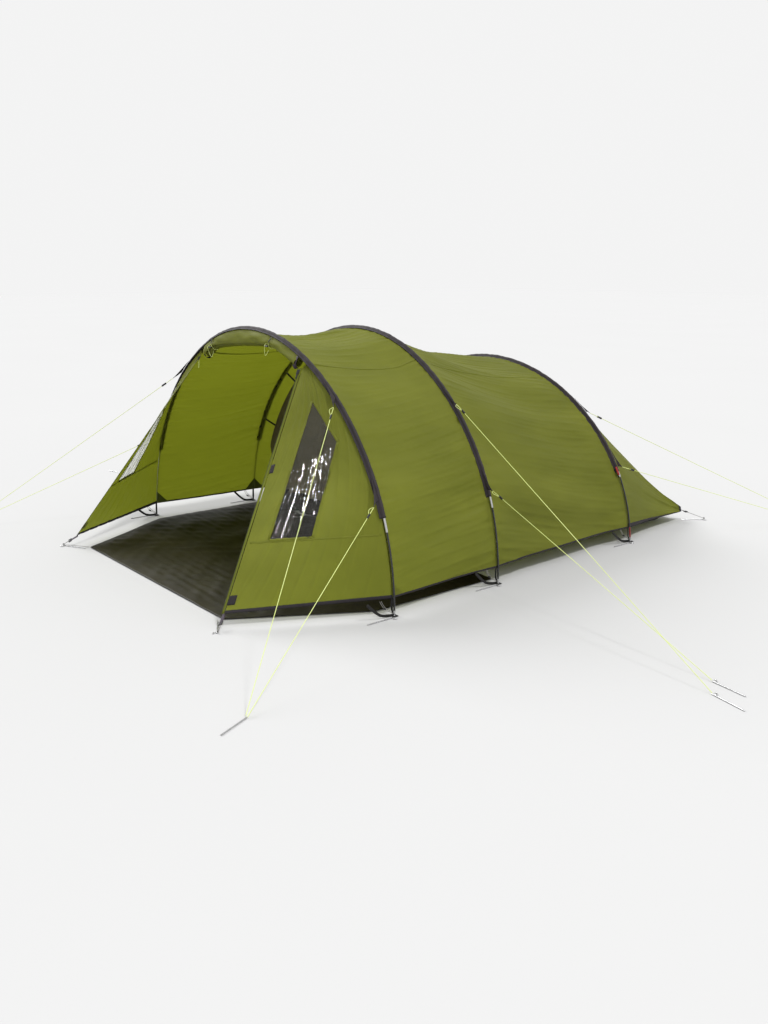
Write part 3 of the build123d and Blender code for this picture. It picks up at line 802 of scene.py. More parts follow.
def guy_tab(name, node_top, hoop, height, side):
    """A long triangle of folded cloth that lies along the sleeve's edge, with its tip where the line pulls
    it off the sleeve."""
    s = hoop.fraction(height)
    run = hoop.length()
    tip = np.array(node_top) * (1 if node_top[0] > 0 else -1, 1, 1)
    base = hoop.points(np.array([s]), 0.006)[0]
    way = unit(tip - base)
    tip = base + way * (GUY_TAB[a_name(hoop)] + 0.006)
    front = way[1] < 0
    u = np.linspace(0, 1, 12)
    v = np.linspace(0, 1, 16)
    rows = []
    for f in v:
        low, high = s - 0.010 / run * (1 - f), s + (0.110 - 0.095 * f) / run
        edge = hoop.points(low + (high - low) * u, 0.004, forward=0.012 if front else -0.012)
        rows.append(edge * (1 - f) + tip * f)
    points = np.array(rows)
    flap = 0.0022 * np.sin(u[None] * 5 + 3 * v[:, None]) * np.sin(math.pi * v)[:, None]
    jitter = 1e-5 * np.random.default_rng(5).random(points.shape)  # no face has zero area at the tip
    points = points + sheet_normals(points + jitter) * flap[..., None]
    points[-1] = tip + (points[-2] - tip) * 0.25
    piece = sewn(name, points, SLEEVE_CLOTH, 0.0018)
    if side == "left":
        flip_x(piece)
    return piece


TAB_HEIGHTS = {
    "front": (1.03, 0.575), "middle": (0.95, 0.515), "rear": (0.79, 0.474),
}
SLEEVE_ENDS = {"front": 0.48, "middle": 0.47, "rear": 0.44}


def add_sleeve(name, hoop):
    s0 = hoop.fraction(SLEEVE_ENDS[name])
    rows, arc, w = sleeve_surface(hoop, s0)
    uvs = np.stack(np.broadcast_arrays(arc[None], w[:, None]), -1)
    band = thicken(grid(f"{name}_band", rows, uvs, SLEEVE_CLOTH), 0.0012)
    under = ribbon(
        f"{name}_under",
        hoop.points(np.linspace(s0, 1 - s0, 300), -FLY + 0.0004),
        (0, -math.cos(hoop.lean), -math.sin(hoop.lean)),
        2 * SLEEVE_HALF,
        0.0006,
        SLEEVE_CLOTH,
    )
    parts = [band, under]
    for place, height in zip(("upper", "lower"), TAB_HEIGHTS[name]):
        for side in ("right", "left"):
            top = node_ends(f"guy_{name}_{place}_{side}")[0]
            parts.append(guy_tab(f"tab_{place}_{side}", top, hoop, height, side))
    if name == "rear":
        ends = hoop.points(np.linspace(hoop.fraction(0.468), hoop.fraction(0.42), 12), 0.007, forward=0.012)
        tape = ribbon("end_tape", ends, (0, -1, 0), 0.016, 0.0016, RED_WEBBING)
        parts += [tape, mirrored(tape, "end_tape_left")]
    sleeve = join(f"{name}_hoop_sleeve", parts)
    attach(sleeve, BODY[name])
    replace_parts(sleeve, f"{name}_sleeve")


for name, arch in (("front", FRONT), ("middle", MIDDLE), ("rear", REAR)):
    add_sleeve(name, arch)


# ---- wings ----------------------------------------------------------------------------
ZIP_LOW = np.array([0.870, FRONT.y - 0.739, 0.066])
ZIP_TOP = np.array([0.520, FRONT.y - 0.020, 1.155])
WINDOW = np.array([
    (0.676, -0.072, 1.006), (0.882, -0.072, 0.824), (0.967, -0.292, 0.392), (0.839, -0.457, 0.376),
])
WINDOW = WINDOW + (0, FRONT.y, 0)


def wing_surface():
    """The right-hand porch wing, from the front hoop (t = 0) to the zip (t = 1)."""
    offset = -FLY - 0.0015
    u, v = np.linspace(0, 1, 321), np.linspace(0, 1, 201)
    low = math.asin(HEM / FRONT.side_r)
    high = math.acos(ZIP_TOP[0] / (FRONT.crest_r + offset))
    angle = low + (high - low) * u
    r = FRONT.side_r + offset
    a = np.stack(
        [FRONT.a - FRONT.side_r + r * np.cos(angle), np.full_like(u, FRONT.y - 0.003), r * np.sin(angle)], -1
    )
    b = ZIP_LOW + (ZIP_TOP - ZIP_LOW) * u[:, None]
    t = v[:, None, None]
    sheet = a[None] * (1 - t) + b[None] * t
    out = sheet_normals(sheet)
    if out[100, 60, 0] < 0:
        out = -out
    up, across = u[None] * 1.3, v[:, None] * 0.75
    fan = ripple(up * 0.5 - across * 0.5, up * 0.35 + across * 0.35, 7, 9, 30, 90) * 0.0036
    soft = ripple(up, across, 6, 3, 9, 91) * 0.003
    fine = ripple(up, across, 10, 35, 100, 92) * 0.0004
    fine = fine + ridges(across, up, 5, 14, 40, 0.35, 93) * 0.006
    edge = np.sin(math.pi * u[None]) ** 0.6 * fade(v[:, None], 0.2)
    sheet = sheet + out * (edge * (fan + soft) + fade(v[:, None], 0.05) * fine)[..., None]
    return lookup(sheet)


WING = wing_surface()


WING_S, WING_T = np.meshgrid(np.linspace(0, 1, 501), np.linspace(0, 1, 301))
WING_POINTS = WING(WING_S, WING_T)


def wing_place(point):
    """The (s, t) of the wing nearest a point."""
    gap = ((WING_POINTS - point) ** 2).sum(-1)
    j, i = np.unravel_index(gap.argmin(), gap.shape)
    return WING_S[j, i], WING_T[j, i]


WINDOW_MIDDLE = WINDOW.mean(0)
WINDOW_NORMAL = unit(np.cross(WINDOW[2] - WINDOW[0], WINDOW[3] - WINDOW[1]))


def window_planes(grow=0.0):
    """A point and an inward direction for each side of the window, moved out by grow."""
    planes = []
    for a, b in zip(WINDOW, np.roll(WINDOW, -1, 0)):
        inward = unit(np.cross(WINDOW_NORMAL, b - a))
        inward = inward if inward @ (WINDOW_MIDDLE - a) > 0 else -inward
        planes.append((a - inward * grow, inward))
    return planes


def depth_in_window(points, grow=0.0):
    """How far points are inside the window: below 0 is outside."""
    return np.min([(np.asarray(points) - a) @ inward for a, inward in window_planes(grow)], 0)


def cut_window(obj, keep_inside, grow=0.0):
    """Cuts a sheet along the window's sides and drops what is outside or inside it."""
    bm = bmesh.new()
    bm.from_mesh(obj.data)
    for a, inward in window_planes(grow):
        geom = bm.verts[:] + bm.edges[:] + bm.faces[:]
        bmesh.ops.bisect_plane(bm, geom=geom, dist=1e-6, plane_co=a, plane_no=inward)
    centres = [face.calc_center_median() for face in bm.faces]
    depth = depth_in_window(np.array(centres), grow)
    drop = [face for face, d in zip(bm.faces, depth) if (d > 0) != keep_inside]
    bmesh.ops.delete(bm, geom=drop, context="FACES")
    bm.to_mesh(obj.data)
    bm.free()


def wing_patch(name, s, t, material, lift=0.0, thick=CLOTH_THICK, waves=None, cut=None, grow=0.0):
    """A piece of the wing, with the window cut out (cut = False) or alone (cut = True)."""
    s, t = np.asarray(s)[None, :], np.asarray(t)[:, None]
    points = WING(s, t, lift + (waves(s, t) if waves else 0.0) + 0 * s * t)
    obj = grid(name, points, measured(points), material)
    if cut is not None:
        cut_window(obj, cut, grow)
    return thicken(obj, thick)


def border(name, width, material, lift, thick=0.001):
    """A sewn strip round the window, in four sides that follow the wing."""
    strips = []
    out = [-inward for _, inward in window_planes()]
    for k, (a, b) in enumerate(zip(WINDOW, np.roll(WINDOW, -1, 0))):
        line = a + (b - a) * np.linspace(0, 1, 30)[:, None]
        rows = []
        for w in (-0.003, 0.003, width):
            edge = line + out[k] * w
            st = np.array([wing_place(p) for p in edge])
            rows.append(WING(st[:, 0], st[:, 1], lift))
        points = np.array(rows)
        strips.append(sewn(name, points, material, thick))
    return strips


def pvc():
    """Clear, soft film with a slow ripple in its gloss."""
    n = Nodes("clear_film")
    wave = n.noise(n.scaled(14, 14, 1), 1.0, 2.0, 0.5, 0.6)
    n.bump(wave, 0.35, 0.004)
    n.colour(n.ramp(wave, [(0.3, srgb(225, 226, 220)), (0.7, srgb(240, 241, 236))]))
    n.set(Roughness=0.03, IOR=1.35, Transmission_Weight=1.0, Specular_IOR_Level=0.5)
    return n.material


CLEAR = pvc()


def crinkles(s, t):
    """Film that has been folded: ridges that run up the window, sharper at its lower end."""
    low = np.clip((0.62 - s) / 0.3, 0.12, 1)
    return (ripple(t * 1.5 + s * 0.5, s * 0.3, 9, 20, 70, 120) * 0.0026
            + ridges(t, s * 0.2, 7, 25, 70, 0.3, 122) * 0.004 + ripple(s, t, 5, 5, 14, 121) * 0.003) * low


def wing_line(start, end, count=60):
    """(s, t) places on the wing along a straight line in space."""
    line = start + (end - start) * np.linspace(0, 1, count)[:, None]
    return np.array([wing_place(p) for p in line])


def wing_strip(name, start, end, width, material, lift=SEAM_THICK, thick=SEAM_THICK):
    """A narrow sewn strip on the wing between two points."""
    st = wing_line(np.array(start), np.array(end))
    centre = WING(st[:, 0], st[:, 1], lift)
    normal = unit(WING(st[:, 0], st[:, 1], 0.01) - WING(st[:, 0], st[:, 1], 0.0))
    return ribbon(name, centre, np.cross(unit(np.gradient(centre, axis=0)), normal), width, thick, material)


def add_wing(side):
    s, t = np.linspace(0, 1, 201), np.linspace(0, 1, 131)
    cloth_piece = wing_patch(f"wing_{side}", s, t, FLY_CLOTH, cut=False)
    near = np.array([wing_place(c) for c in WINDOW])
    (s0, t0), (s1, t1) = near.min(0) - 0.04, near.max(0) + 0.04
    pane = wing_patch(
        f"window_{side}", np.linspace(s0, s1, 150), np.linspace(t0, t1, 90), CLEAR,
        thick=0.0005, waves=crinkles, cut=True, grow=0.004,
    )
    parts = border("edge", 0.009, FLY_CLOTH, 0.0012)
    for lift in (BINDING_LIFT, -BINDING_LIFT):
        parts.append(wing_patch("hem", np.linspace(0, 0.013, 4), t, BINDING, lift, BINDING_THICK))
    wing_y = lambda x, y, z: (x, FRONT.y + y, z)
    seam_ends = wing_y(0.78, -0.53, 0.358), wing_y(1.171, -0.02, 0.401)
    parts.append(wing_strip("seam", *seam_ends, 0.009, FLY_CLOTH))
    for x, y, z in ((0.853, -0.702, 0.12), (0.678, -0.325, 0.686)):
        s_at, _ = wing_place(np.array(wing_y(x, y, z)))
        tab_s, tab_t = np.linspace(s_at - 0.018, s_at + 0.018, 6), np.linspace(0.955, 1, 5)
        parts.append(wing_patch("tab", tab_s, tab_t, BINDING, 0.0014, 0.0014))
    trim = join(f"wing_trim_{side}", parts)
    if side == "left":
        for piece in (cloth_piece, pane, trim):
            flip_x(piece)
    for piece, slot in ((cloth_piece, "fly_fabric"), (pane, "clear_pvc"), (trim, "fly_fabric")):
        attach(piece, "front_hoop")
    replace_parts(cloth_piece, f"front_wing_{side}")
    wide, long, area = sheet_size(WING)
    hole = sheet_size(lambda a, b: quad_surface(WINDOW, a, b))
    return pane


def quad_surface(quad, s, t):
    a, b, c, d = quad
    s, t = np.broadcast_arrays(np.asarray(s, float), np.asarray(t, float))
    s, t = s[..., None], t[..., None]
    return (a * (1 - s) + b * s) * (1 - t) + (d * (1 - s) + c * s) * t


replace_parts(add_wing("right"), "wing_windows")
add_wing("left")


# ---- zips -----------------------------------------------------------------------------
BOX_CORNERS = [(x, y, z) for x in (-1, 1) for y in (-1, 1) for z in (-1, 1)]
BOX_SIDES = [(0, 1, 3, 2), (4, 6, 7, 5), (0, 4, 5, 1), (2, 3, 7, 6), (0, 2, 6, 4), (1, 5, 7, 3)]
TOOTH = (0.0014, 0.0022, 0.0011)  # half sizes along the zip, across it and outwards
TOOTH_PITCH, TOOTH_END = 0.005, 0.004


def squared(along, wide):
    """Two unit directions: along as it is, and wide made square to it."""
    along, wide = unit(np.asarray(along, float)), np.asarray(wide, float)
    return along, unit(wide - along * (wide @ along))


def zip_piece():
    """Zip tape sewn to the wing's free edge, with its row of teeth on the doorway side."""
    along, across = squared(ZIP_TOP - ZIP_LOW, (-0.72, -0.67, -0.17))
    start, length = ZIP_LOW + across * 0.0035, np.linalg.norm(ZIP_TOP - ZIP_LOW)
    run = np.linspace(0, length, 90)
    centre = start + run[:, None] * along + across * 0.0055
    tape = ribbon("tape", centre, across, 0.011, 0.0011, ZIP_TAPE)
    out = np.cross(along, across)
    out = out if out[1] < 0 else -out
    verts, faces = [], []
    for r in np.arange(TOOTH_END, length - TOOTH_END, TOOTH_PITCH):
        middle = start + along * r + across * 0.0118
        base = len(verts)
        for x, y, z in BOX_CORNERS:
            verts.append(middle + along * TOOTH[0] * x + across * TOOTH[1] * y + out * TOOTH[2] * z)
        faces += [tuple(base + k for k in side) for side in BOX_SIDES]
    teeth = add_mesh("teeth", verts, faces, ZIP_TEETH, smooth=False)
    bevel = teeth.modifiers.new("bevel", "BEVEL")
    bevel.width, bevel.segments = 0.0004, 1
    return join("zip_right", [tape, teeth])


ZIP_TAPE = cloth("zip_tape_cloth", srgb(82, 88, 26), srgb(98, 104, 32), 0.75, 0.02, pitch=0.0012, spec=0.15)
ZIP_TEETH = plain("zip_teeth", srgb(56, 60, 22), 0.6)
right_zip = zip_piece()
left_zip = mirrored(right_zip, "zip_left")
for piece in (right_zip, left_zip):
    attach(piece, "front_hoop")
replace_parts(right_zip, "door_zips")


# ---- door roll ------------------------------------------------------------------------
ROLL_FROM, ROLL_TO = math.radians(63), math.radians(117)
TIES_AT = (math.radians(77), math.radians(111))


def crest_frame(angle, inside):
    """A point inside the front crest arc, with the outward and forward directions there."""
    angle = np.asarray(angle, float)
    r = FRONT.crest_r - inside
    out = np.stack([np.cos(angle), np.zeros_like(angle), np.sin(angle)], -1)
    centre = np.array([0, FRONT.y, FRONT.h - FRONT.crest_r])
    return centre + out * np.asarray(r)[..., None], out


def roll_depth(angle):
    """How far the roll's lowest edge hangs inside the pole: it spans straight between its ties."""
    low, high = TIES_AT
    between_ties = np.clip((angle - low) / (high - low), 0, 1)
    return 0.078 + 0.030 * np.sin(math.pi * between_ties) + 0.012 * np.clip((angle - high) / 0.1, 0, 1)


def add_roll():
    """The door rolled up under the front hoop. Its last turn hangs from the sleeve as a smooth
    flap, the rolled cloth lies behind and just below it, and it is nipped in at its ties."""
    angles = np.linspace(ROLL_FROM, ROLL_TO, 260)
    arc = angles * FRONT.crest_r
    nip = np.ones_like(angles)
    for tie in TIES_AT:
        nip -= 0.3 * np.exp(-(((angles - tie) / 0.02) ** 2))
    depth = roll_depth(angles)
    forward = np.array([0, -1.0, 0])

    def place(inside, ahead):
        centre, _ = crest_frame(angles, inside)
        return centre + forward * np.asarray(ahead)[:, None]

    def waves(key, amount, low=14, high=60):
        return ripple(arc, np.full_like(arc, key * 0.05), 9, low, high, 140) * amount

    rows = []
    for f in np.linspace(0, 1, 22):
        fold = math.sin(math.pi * f)
        ahead = 0.014 + 0.024 * math.sin(math.pi * min(f * 0.6, 1)) * nip
        rows.append(place(0.0105 + (depth - 0.032) * f + 0.002 * fold, ahead + waves(f * 3, 0.0030) * fold))
    for f in np.linspace(0, 1, 7)[1:]:
        ahead = 0.036 * nip + 0.002 * math.sin(math.pi * f) - 0.020 * f
        rows.append(place(depth - 0.0215 - 0.010 * f * f, ahead))
    turns, radius = 2.6, 0.030
    phi = np.linspace(0, 2 * math.pi * turns, 130)
    for p in phi:
        shrink = 1 - 0.75 * (p / phi[-1]) ** 1.1
        turn = math.radians(20) - p
        a = (radius + waves(p, 0.0013) + waves(p + 9, 0.002, 4, 10)) * shrink
        rows.append(place(depth - 0.032 - 0.98 * a * math.sin(turn), 0.72 * a * nip * math.cos(turn)))
    points = np.array(rows)
    return sewn("rolled_door", points, FLY_CLOTH, 0.0008)


roll = add_roll()
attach(roll, "front_hoop")
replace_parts(roll, "door_roll")


def roll_point(angle, inside, ahead):
    """A point by the roll, from the hoop's angle, the distance inside the pole and to the front."""
    centre, _ = crest_frame(np.array([angle]), np.array([inside]))
    return centre[0] + (0, -ahead, 0)


def add_roll_trim():
    """Black binding on the roll's left end, and the webbing that holds its right end."""
    left = [roll_point(ROLL_TO - 0.004, i, a) for i, a in (
        (0.030, 0.022), (0.060, 0.036), (0.088, 0.030), (0.094, 0.008), (0.075, -0.014), (0.045, -0.012))]
    smooth = spline_points(left, 60)
    binding = ribbon("end_binding", smooth, (-1, 0, 0.4), 0.014, 0.0016, BINDING)
    right = [roll_point(ROLL_FROM + a, i, f) for a, i, f in
             ((0.004, 0.012, 0.022), (0.0, 0.045, 0.036), (-0.004, 0.074, 0.026), (-0.002, 0.082, 0.010))]
    strap = ribbon("end_strap", spline_points(right, 40), (1, 0, 0.4), 0.024, 0.0018, PURPLE_WEBBING)
    parts = [binding, strap]
    for tie in TIES_AT:
        hang = [roll_point(tie, i, f) for i, f in ((0.012, 0.022), (0.028, 0.033), (0.042, 0.040))]
        parts.append(ribbon("tie", spline_points(hang, 16), (1, 0, 0), 0.006, 0.0014, WEBBING))
        under = [roll_point(tie + d, i, f) for d, i, f in (
            (0, 0.042, 0.040), (0.002, 0.066, 0.034), (0.001, 0.082, 0.012),
            (0, 0.07, -0.016), (0, 0.03, -0.02))]
        parts.append(tube("loop", spline_points(under, 40), 0.0013, NEON, 8))
    trim = join("roll_trim", parts)
    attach(trim, "front_hoop")
    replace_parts(trim, "door_ties")


def spline_points(points, count):
    """Points on the clamped quadratic B-spline that has these control points."""
    points = np.asarray(points, float)
    spans = len(points) - 2
    out = []
    for x in np.linspace(0, spans, count):
        k = min(int(x), spans - 1)
        knots = lambda i: min(max(i, 0), spans)
        a, b, c = points[k], points[k + 1], points[k + 2]
        t0, t1, t2, t3 = knots(k - 1), knots(k), knots(k + 1), knots(k + 2)
        p = a + (b - a) * ((x - t0) / (t2 - t0))
        q = b + (c - b) * ((x - t1) / (t3 - t1))
        out.append(p + (q - p) * ((x - t1) / (t2 - t1)))
    return np.array(out)


add_roll_trim()


# ---- webbing and elastic at the feet and corners --------------------------------------
def elastic(name, points, body, diameter=0.0026, material=None):
    line = curve(name, points, diameter, material or GREY_ELASTIC)
    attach(line, body)
    return line


def band(points, width, material=None, wide=(1, 0, 0), count=40, thick=0.0018):
    return ribbon("band", spline_points(points, count), wide, width, thick, material or WEBBING)


def box_piece(centre, along, wide, size, material, bevel=0.0012):
    """A small moulded block with rounded edges. along and wide give its directions."""
    along, wide = squared(along, wide)
    up = np.cross(along, wide)
    half = np.asarray(size) / 2
    verts = [centre + along * half[0] * x + wide * half[1] * y + up * half[2] * z for x, y, z in BOX_CORNERS]
    obj = add_mesh("block", verts, BOX_SIDES, material, smooth=False)
    mod = obj.modifiers.new("bevel", "BEVEL")
    mod.width, mod.segments = bevel, 3
    return obj


def ladder_lock(centre, along, wide, width=0.016):
    """A webbing buckle: two side rails and three bars."""
    along, wide = squared(along, wide)
    rail, bar = (0.022, 0.004, 0.005), (0.004, width + 0.004, 0.0045)
    places = [(wide * k * (width / 2 + 0.002), rail) for k in (-1, 1)]
    places += [(along * k * 0.009, bar) for k in (-1, 0, 1)]
    return [box_piece(centre + step, along, wide, size, BLACK_PLASTIC) for step, size in places]


def eyelet(centre, radius, wire, material, axis=(0, 0, 1)):
    """A pressed ring."""
    axis = unit(np.asarray(axis, float))
    side = unit(np.cross(axis, (0.3, 1, 0.1)))
    other = np.cross(axis, side)
    turn = np.linspace(0, 2 * math.pi, 33)[:, None]
    path = centre + radius * (np.cos(turn) * side + np.sin(turn) * other)
    return tube("eyelet", path, wire, material, 8, caps=False)


def foot_pieces(name, arch):
    """Right-hand foot: a strap from the hem along to the pole's tip, a riser from the tip up to
    the hem, an elastic with its toggle, and a black eyelet tab under the tip."""
    x, y = arch.a, arch.y
    at = lambda dx, dy, z: np.array([x + dx, y + dy, z])
    edge = arch.points(np.array([0.0]), -FLY)[0]
    hem = lambda dy, dx=0.0, dz=0.0: np.array([edge[0] + dx, edge[1] + dy, edge[2] + dz])
    strap = [hem(-0.165, 0.002), at(-0.010, -0.11, 0.034), at(-0.006, -0.06, 0.008), at(0, -0.006, 0.008)]
    riser = [
        hem(-0.004, 0.001, 0.006), at(-0.016, -0.006, 0.06), at(-0.012, -0.004, 0.02), at(-0.002, 0, 0.006),
    ]
    tab = [at(0.016, 0.0, 0.003), at(0.0, 0.0, 0.0035), at(-0.016, 0.0, 0.003)]
    parts = [
        band(strap, 0.014, wide=(0, 0, 1)),
        band(riser, 0.011, wide=(0, 1, 0)),
        band(tab, 0.030, wide=(0, 1, 0)),
        eyelet(at(0, 0, 0.0055), 0.0055, 0.0012, STEEL),
    ]
    loop = [hem(-0.085, 0.001), at(-0.012, -0.06, 0.045), at(-0.008, -0.03, 0.03), at(-0.004, -0.004, 0.012)]
    back = [hem(-0.075, 0.001), at(-0.02, -0.05, 0.05), at(-0.014, -0.02, 0.03), at(-0.006, -0.004, 0.014)]
    parts += [tube("elastic", spline_points(p, 30), 0.0013, GREY_ELASTIC, 8) for p in (loop, back)]
    toggle, size = at(-0.012, -0.055, 0.046), (0.018, 0.009, 0.009)
    return parts + [box_piece(toggle, (0.1, 1, -0.6), (1, 0, 0), size, BLACK_PLASTIC, bevel=0.003)]


def add_feet(name, arch, body):
    right = join(f"{name}_foot_right", foot_pieces(name, arch))
    left = mirrored(right, f"{name}_foot_left")
    for piece in (right, left):
        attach(piece, body)
    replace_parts(right, f"{name}_straps")


for name, arch in (("front", FRONT), ("middle", MIDDLE), ("rear", REAR)):
    add_feet(name, arch, BODY[name])


SIDES = {"right": np.array([1, 1, 1]), "left": np.array([-1, 1, 1])}
FRONT_PEG_HOOK = np.array([0.922, FRONT.y - 0.810, 0.0076])
REAR_PEG_HOOK = np.array([1.130, FRONT.y + 2.915, 0.0076])


def add_corners():
    """Webbing tails on the fly's four corners, and the elastics to the pegs."""
    zip_corner = ZIP_LOW + (0.003, -0.010, -0.012)
    rear_corner = np.array([REAR_EDGE[0] - 0.006, REAR_EDGE[1] + 0.004, REAR_EDGE[2] + 0.010])
    ground_corner = np.array([0.786, FRONT.y - 0.698, 0.0046])
    for name, corner, hook, body in (
        ("front", zip_corner, FRONT_PEG_HOOK, "front_hoop"),
        ("rear", rear_corner, REAR_PEG_HOOK, "root"),
    ):
        way = unit(hook - corner)
        end = corner + way * 0.042
        parts = [band([corner - way * 0.02, corner + way * 0.01, end], 0.018, PURPLE_WEBBING)]
        parts += ladder_lock(end - way * 0.004, way, (1, 0, 0.2), 0.015)
        parts.append(eyelet(hook - way * 0.004, 0.005, 0.0014, BLACK_PLASTIC, np.cross(way, (0, 0, 1))))
        parts.append(tube("strand", [end + (0.007, 0, 0), hook], 0.0013, GREY_ELASTIC, 8))
        right = join(f"{name}_corner_right", parts)
        left = mirrored(right, f"{name}_corner_left")
        for piece in (right, left):
            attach(piece, body)
        for side, flip in SIDES.items():
            elastic(f"{name}_elastic_{side}", [end * flip, (end + hook) / 2 * flip, hook * flip], body)
    for side, flip in SIDES.items():
        stop = FRONT_PEG_HOOK + (-0.012, 0.006, 0)
        middle = (ground_corner + stop) / 2
        elastic(f"ground_elastic_{side}", [ground_corner * flip, middle * flip, stop * flip], "front_hoop")


add_corners()


def add_door_loops():
    """Thin cord loops that hang from the roll's toggles and from the left-hand zip's top."""
    for name, angle, turn in (("door_loop_right", TIES_AT[0], 0.006), ("door_loop_left", TIES_AT[1], 0.016)):
        points = [roll_point(angle + d, i, f) for d, i, f in (
            (0.004, 0.050, 0.048), (0.003 + turn, 0.050, 0.056), (0.004 + turn, 0.080, 0.052),
            (turn, 0.118, 0.046), (0.6 * turn, 0.112, 0.038), (0.001, 0.086, 0.030))]
        elastic(name, points, "front_hoop", 0.0024, NEON)
    top = ZIP_TOP * (-1, 1, 1)
    points = [top + d for d in np.array([
        (0.004, -0.016, -0.02), (0.012, -0.024, -0.03), (0.014, -0.026, -0.06), (0.006, -0.026, -0.082),
        (-0.002, -0.024, -0.06), (-0.004, -0.02, -0.03)])]
    elastic("door_loop_end", points, "front_hoop", 0.0024, NEON)


add_door_loops()


EYELET_BACK, RUNNER_AT = 0.006, 0.060  # metres along the line, from its top


def add_guy_loops():
    """The second strand of each line, back from its runner to the eyelet of the tab."""
    for guy in GUYS:
        top, peg = node_ends(f"guy_{guy}")
        way = unit(peg - top)
        side = unit(np.cross(way, (0, 0, 1.0)))
        start, end = top - way * EYELET_BACK, top + way * RUNNER_AT
        bulge = [start + way * 0.012 + side * 0.017, (start + end) / 2 + side * 0.016]
        path = spline_points([start, *bulge, end], 30)
        loop = tube(f"loop_{guy}", path, GUY_D / 2 * 0.9, NEON, 8)
        BODY[guy.split("_")[0]]
        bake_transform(loop)


add_guy_loops()


# ---- groundsheet ----------------------------------------------------------------------
# half widths at the hoops and at the front edge, and the length over which it narrows
GROUND_HALF, GROUND_TIP, GROUND_TAPER = 1.145, 0.78, 0.665


def ground_points():
    """The porch groundsheet as rows from its front edge to the inner tent."""
    y0, y1 = FRONT.y - 0.695, MIDDLE.y + 0.033
    rows = np.linspace(0, 1, 130)
    y = y0 + (y1 - y0) * rows
    half = np.interp(y, [y0, FRONT.y - 0.03, y1], [GROUND_TIP, GROUND_HALF, GROUND_HALF])
    u = np.linspace(-1, 1, 190)
    x = half[:, None] * u[None]
    yy = np.broadcast_to(y[:, None], x.shape)
    edge = np.clip((1 - abs(u[None])) / 0.06, 0, 1) * np.clip((yy - y0) / 0.08, 0, 1)
    wave = ripple(x, yy, 9, 9, 30, 160) * 0.0035 + ripple(x * 0.5, yy, 12, 50, 130, 161) * 0.0016
    z = 0.0035 + np.maximum(wave + 0.004, 0) * (0.35 + 0.65 * edge)
    return np.stack([x, yy, z], -1)


def add_groundsheet():
    points = ground_points()
    uvs = points[..., :2]
    sheet = thicken(grid("porch_ground", points, uvs, GROUND_CLOTH), CLOTH_THICK)
    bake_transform(sheet)
    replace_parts(sheet, "porch_groundsheet")


add_groundsheet()


# ---- inner tent -----------------------------------------------------------------------
INNER_GAP, TUB, KNEE, FLOOR_HALF = 0.095, 0.14, 0.43, 0.944
INNER_Y = MIDDLE.y + 0.045
INNER_BACK = REAR_EDGE[1] - 0.105


def inner_section(hoop, y, count=361):
    """The inner tent's cross-section: an arch whose sides slope in to the floor from the knee."""
    arch = Hoop(y, hoop.a - INNER_GAP, hoop.h - INNER_GAP, hoop.turn, hoop.lean)
    x, up, _, _ = arch.flat(np.linspace(0, 1, 400), 0.0, KNEE)
    x, up = np.r_[FLOOR_HALF, x, -FLOOR_HALF], np.r_[TUB, up, TUB]
    run = np.r_[0, np.cumsum(np.hypot(np.diff(x), np.diff(up)))]
    even = np.linspace(0, run[-1], count)
    x, up = np.interp(even, run, x), np.interp(even, run, up)
    kernel = np.hanning(9) / np.hanning(9).sum()
    inner = slice(4, -4)
    x[inner], up[inner] = np.convolve(x, kernel, "valid"), np.convolve(up, kernel, "valid")
    return np.stack([x, y - up * math.sin(arch.lean), up * math.cos(arch.lean)], -1), run[-1]


def inner_surface():
    """The inner tent's roof, sides and back, over s, the arch, and t, from front to back."""
    rows, cols = np.linspace(0, 1, 101), np.linspace(0, 1, 361)
    a, length = inner_section(MIDDLE, INNER_Y)
    b, _ = inner_section(REAR, REAR.y)
    stops = [0, 0.3, 0.7, 1]
    x = np.interp(cols, stops, [FLOOR_HALF, FLOOR_HALF - 0.005, 0.005 - FLOOR_HALF, -FLOOR_HALF])
    z = np.interp(cols, stops, [TUB, TUB - 0.006, TUB - 0.006, TUB])
    c = np.stack([smoothed(x, 31), np.full_like(x, INNER_BACK), smoothed(z, 31)], -1)
    knee = 0.6
    sheet = []
    for t in rows:
        if t < knee:
            f = t / knee
            sheet.append(a * (1 - f) + b * f)
        else:
            f = (t - knee) / (1 - knee)
            sheet.append(b * (1 - f) + c * f)
    sheet = np.array(sheet)
    out = sheet_normals(sheet)
    if out[50, 60, 0] < 0:
        out = -out
    arc = cols[None] * length
    y = rows[:, None] * 1.9
    hang = np.sin(math.pi * np.clip(rows / knee, 0, 1))[:, None] * 0.02
    hang = hang + np.sin(math.pi * np.clip((rows - knee) / (1 - knee), 0, 1))[:, None] * 0.07
    wave = ripple(arc, y * 0.5, 8, 5, 18, 180) * 0.005 * fade(rows[:, None], 0.12)
    edge = fade(cols[None], 0.05)
    return lookup(sheet + out * ((wave - hang) * edge)[..., None])


def add_inner():
    surface = inner_surface()
    s, t = np.linspace(0, 1, 201), np.linspace(0, 1, 101)
    canopy = patch("inner_roof", surface, s, t, INNER_CLOTH, thick=CLOTH_THICK)
    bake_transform(canopy)
    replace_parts(canopy, "inner_canopy")
    wide, long, area = sheet_size(surface)


add_inner()


def tub_outline():
    """The floor's outline from the front right corner, anticlockwise seen from above."""
    right = [(FLOOR_HALF, INNER_Y), (FLOOR_HALF, INNER_BACK)]
    return right + [(-x, y) for x, y in reversed(right)]


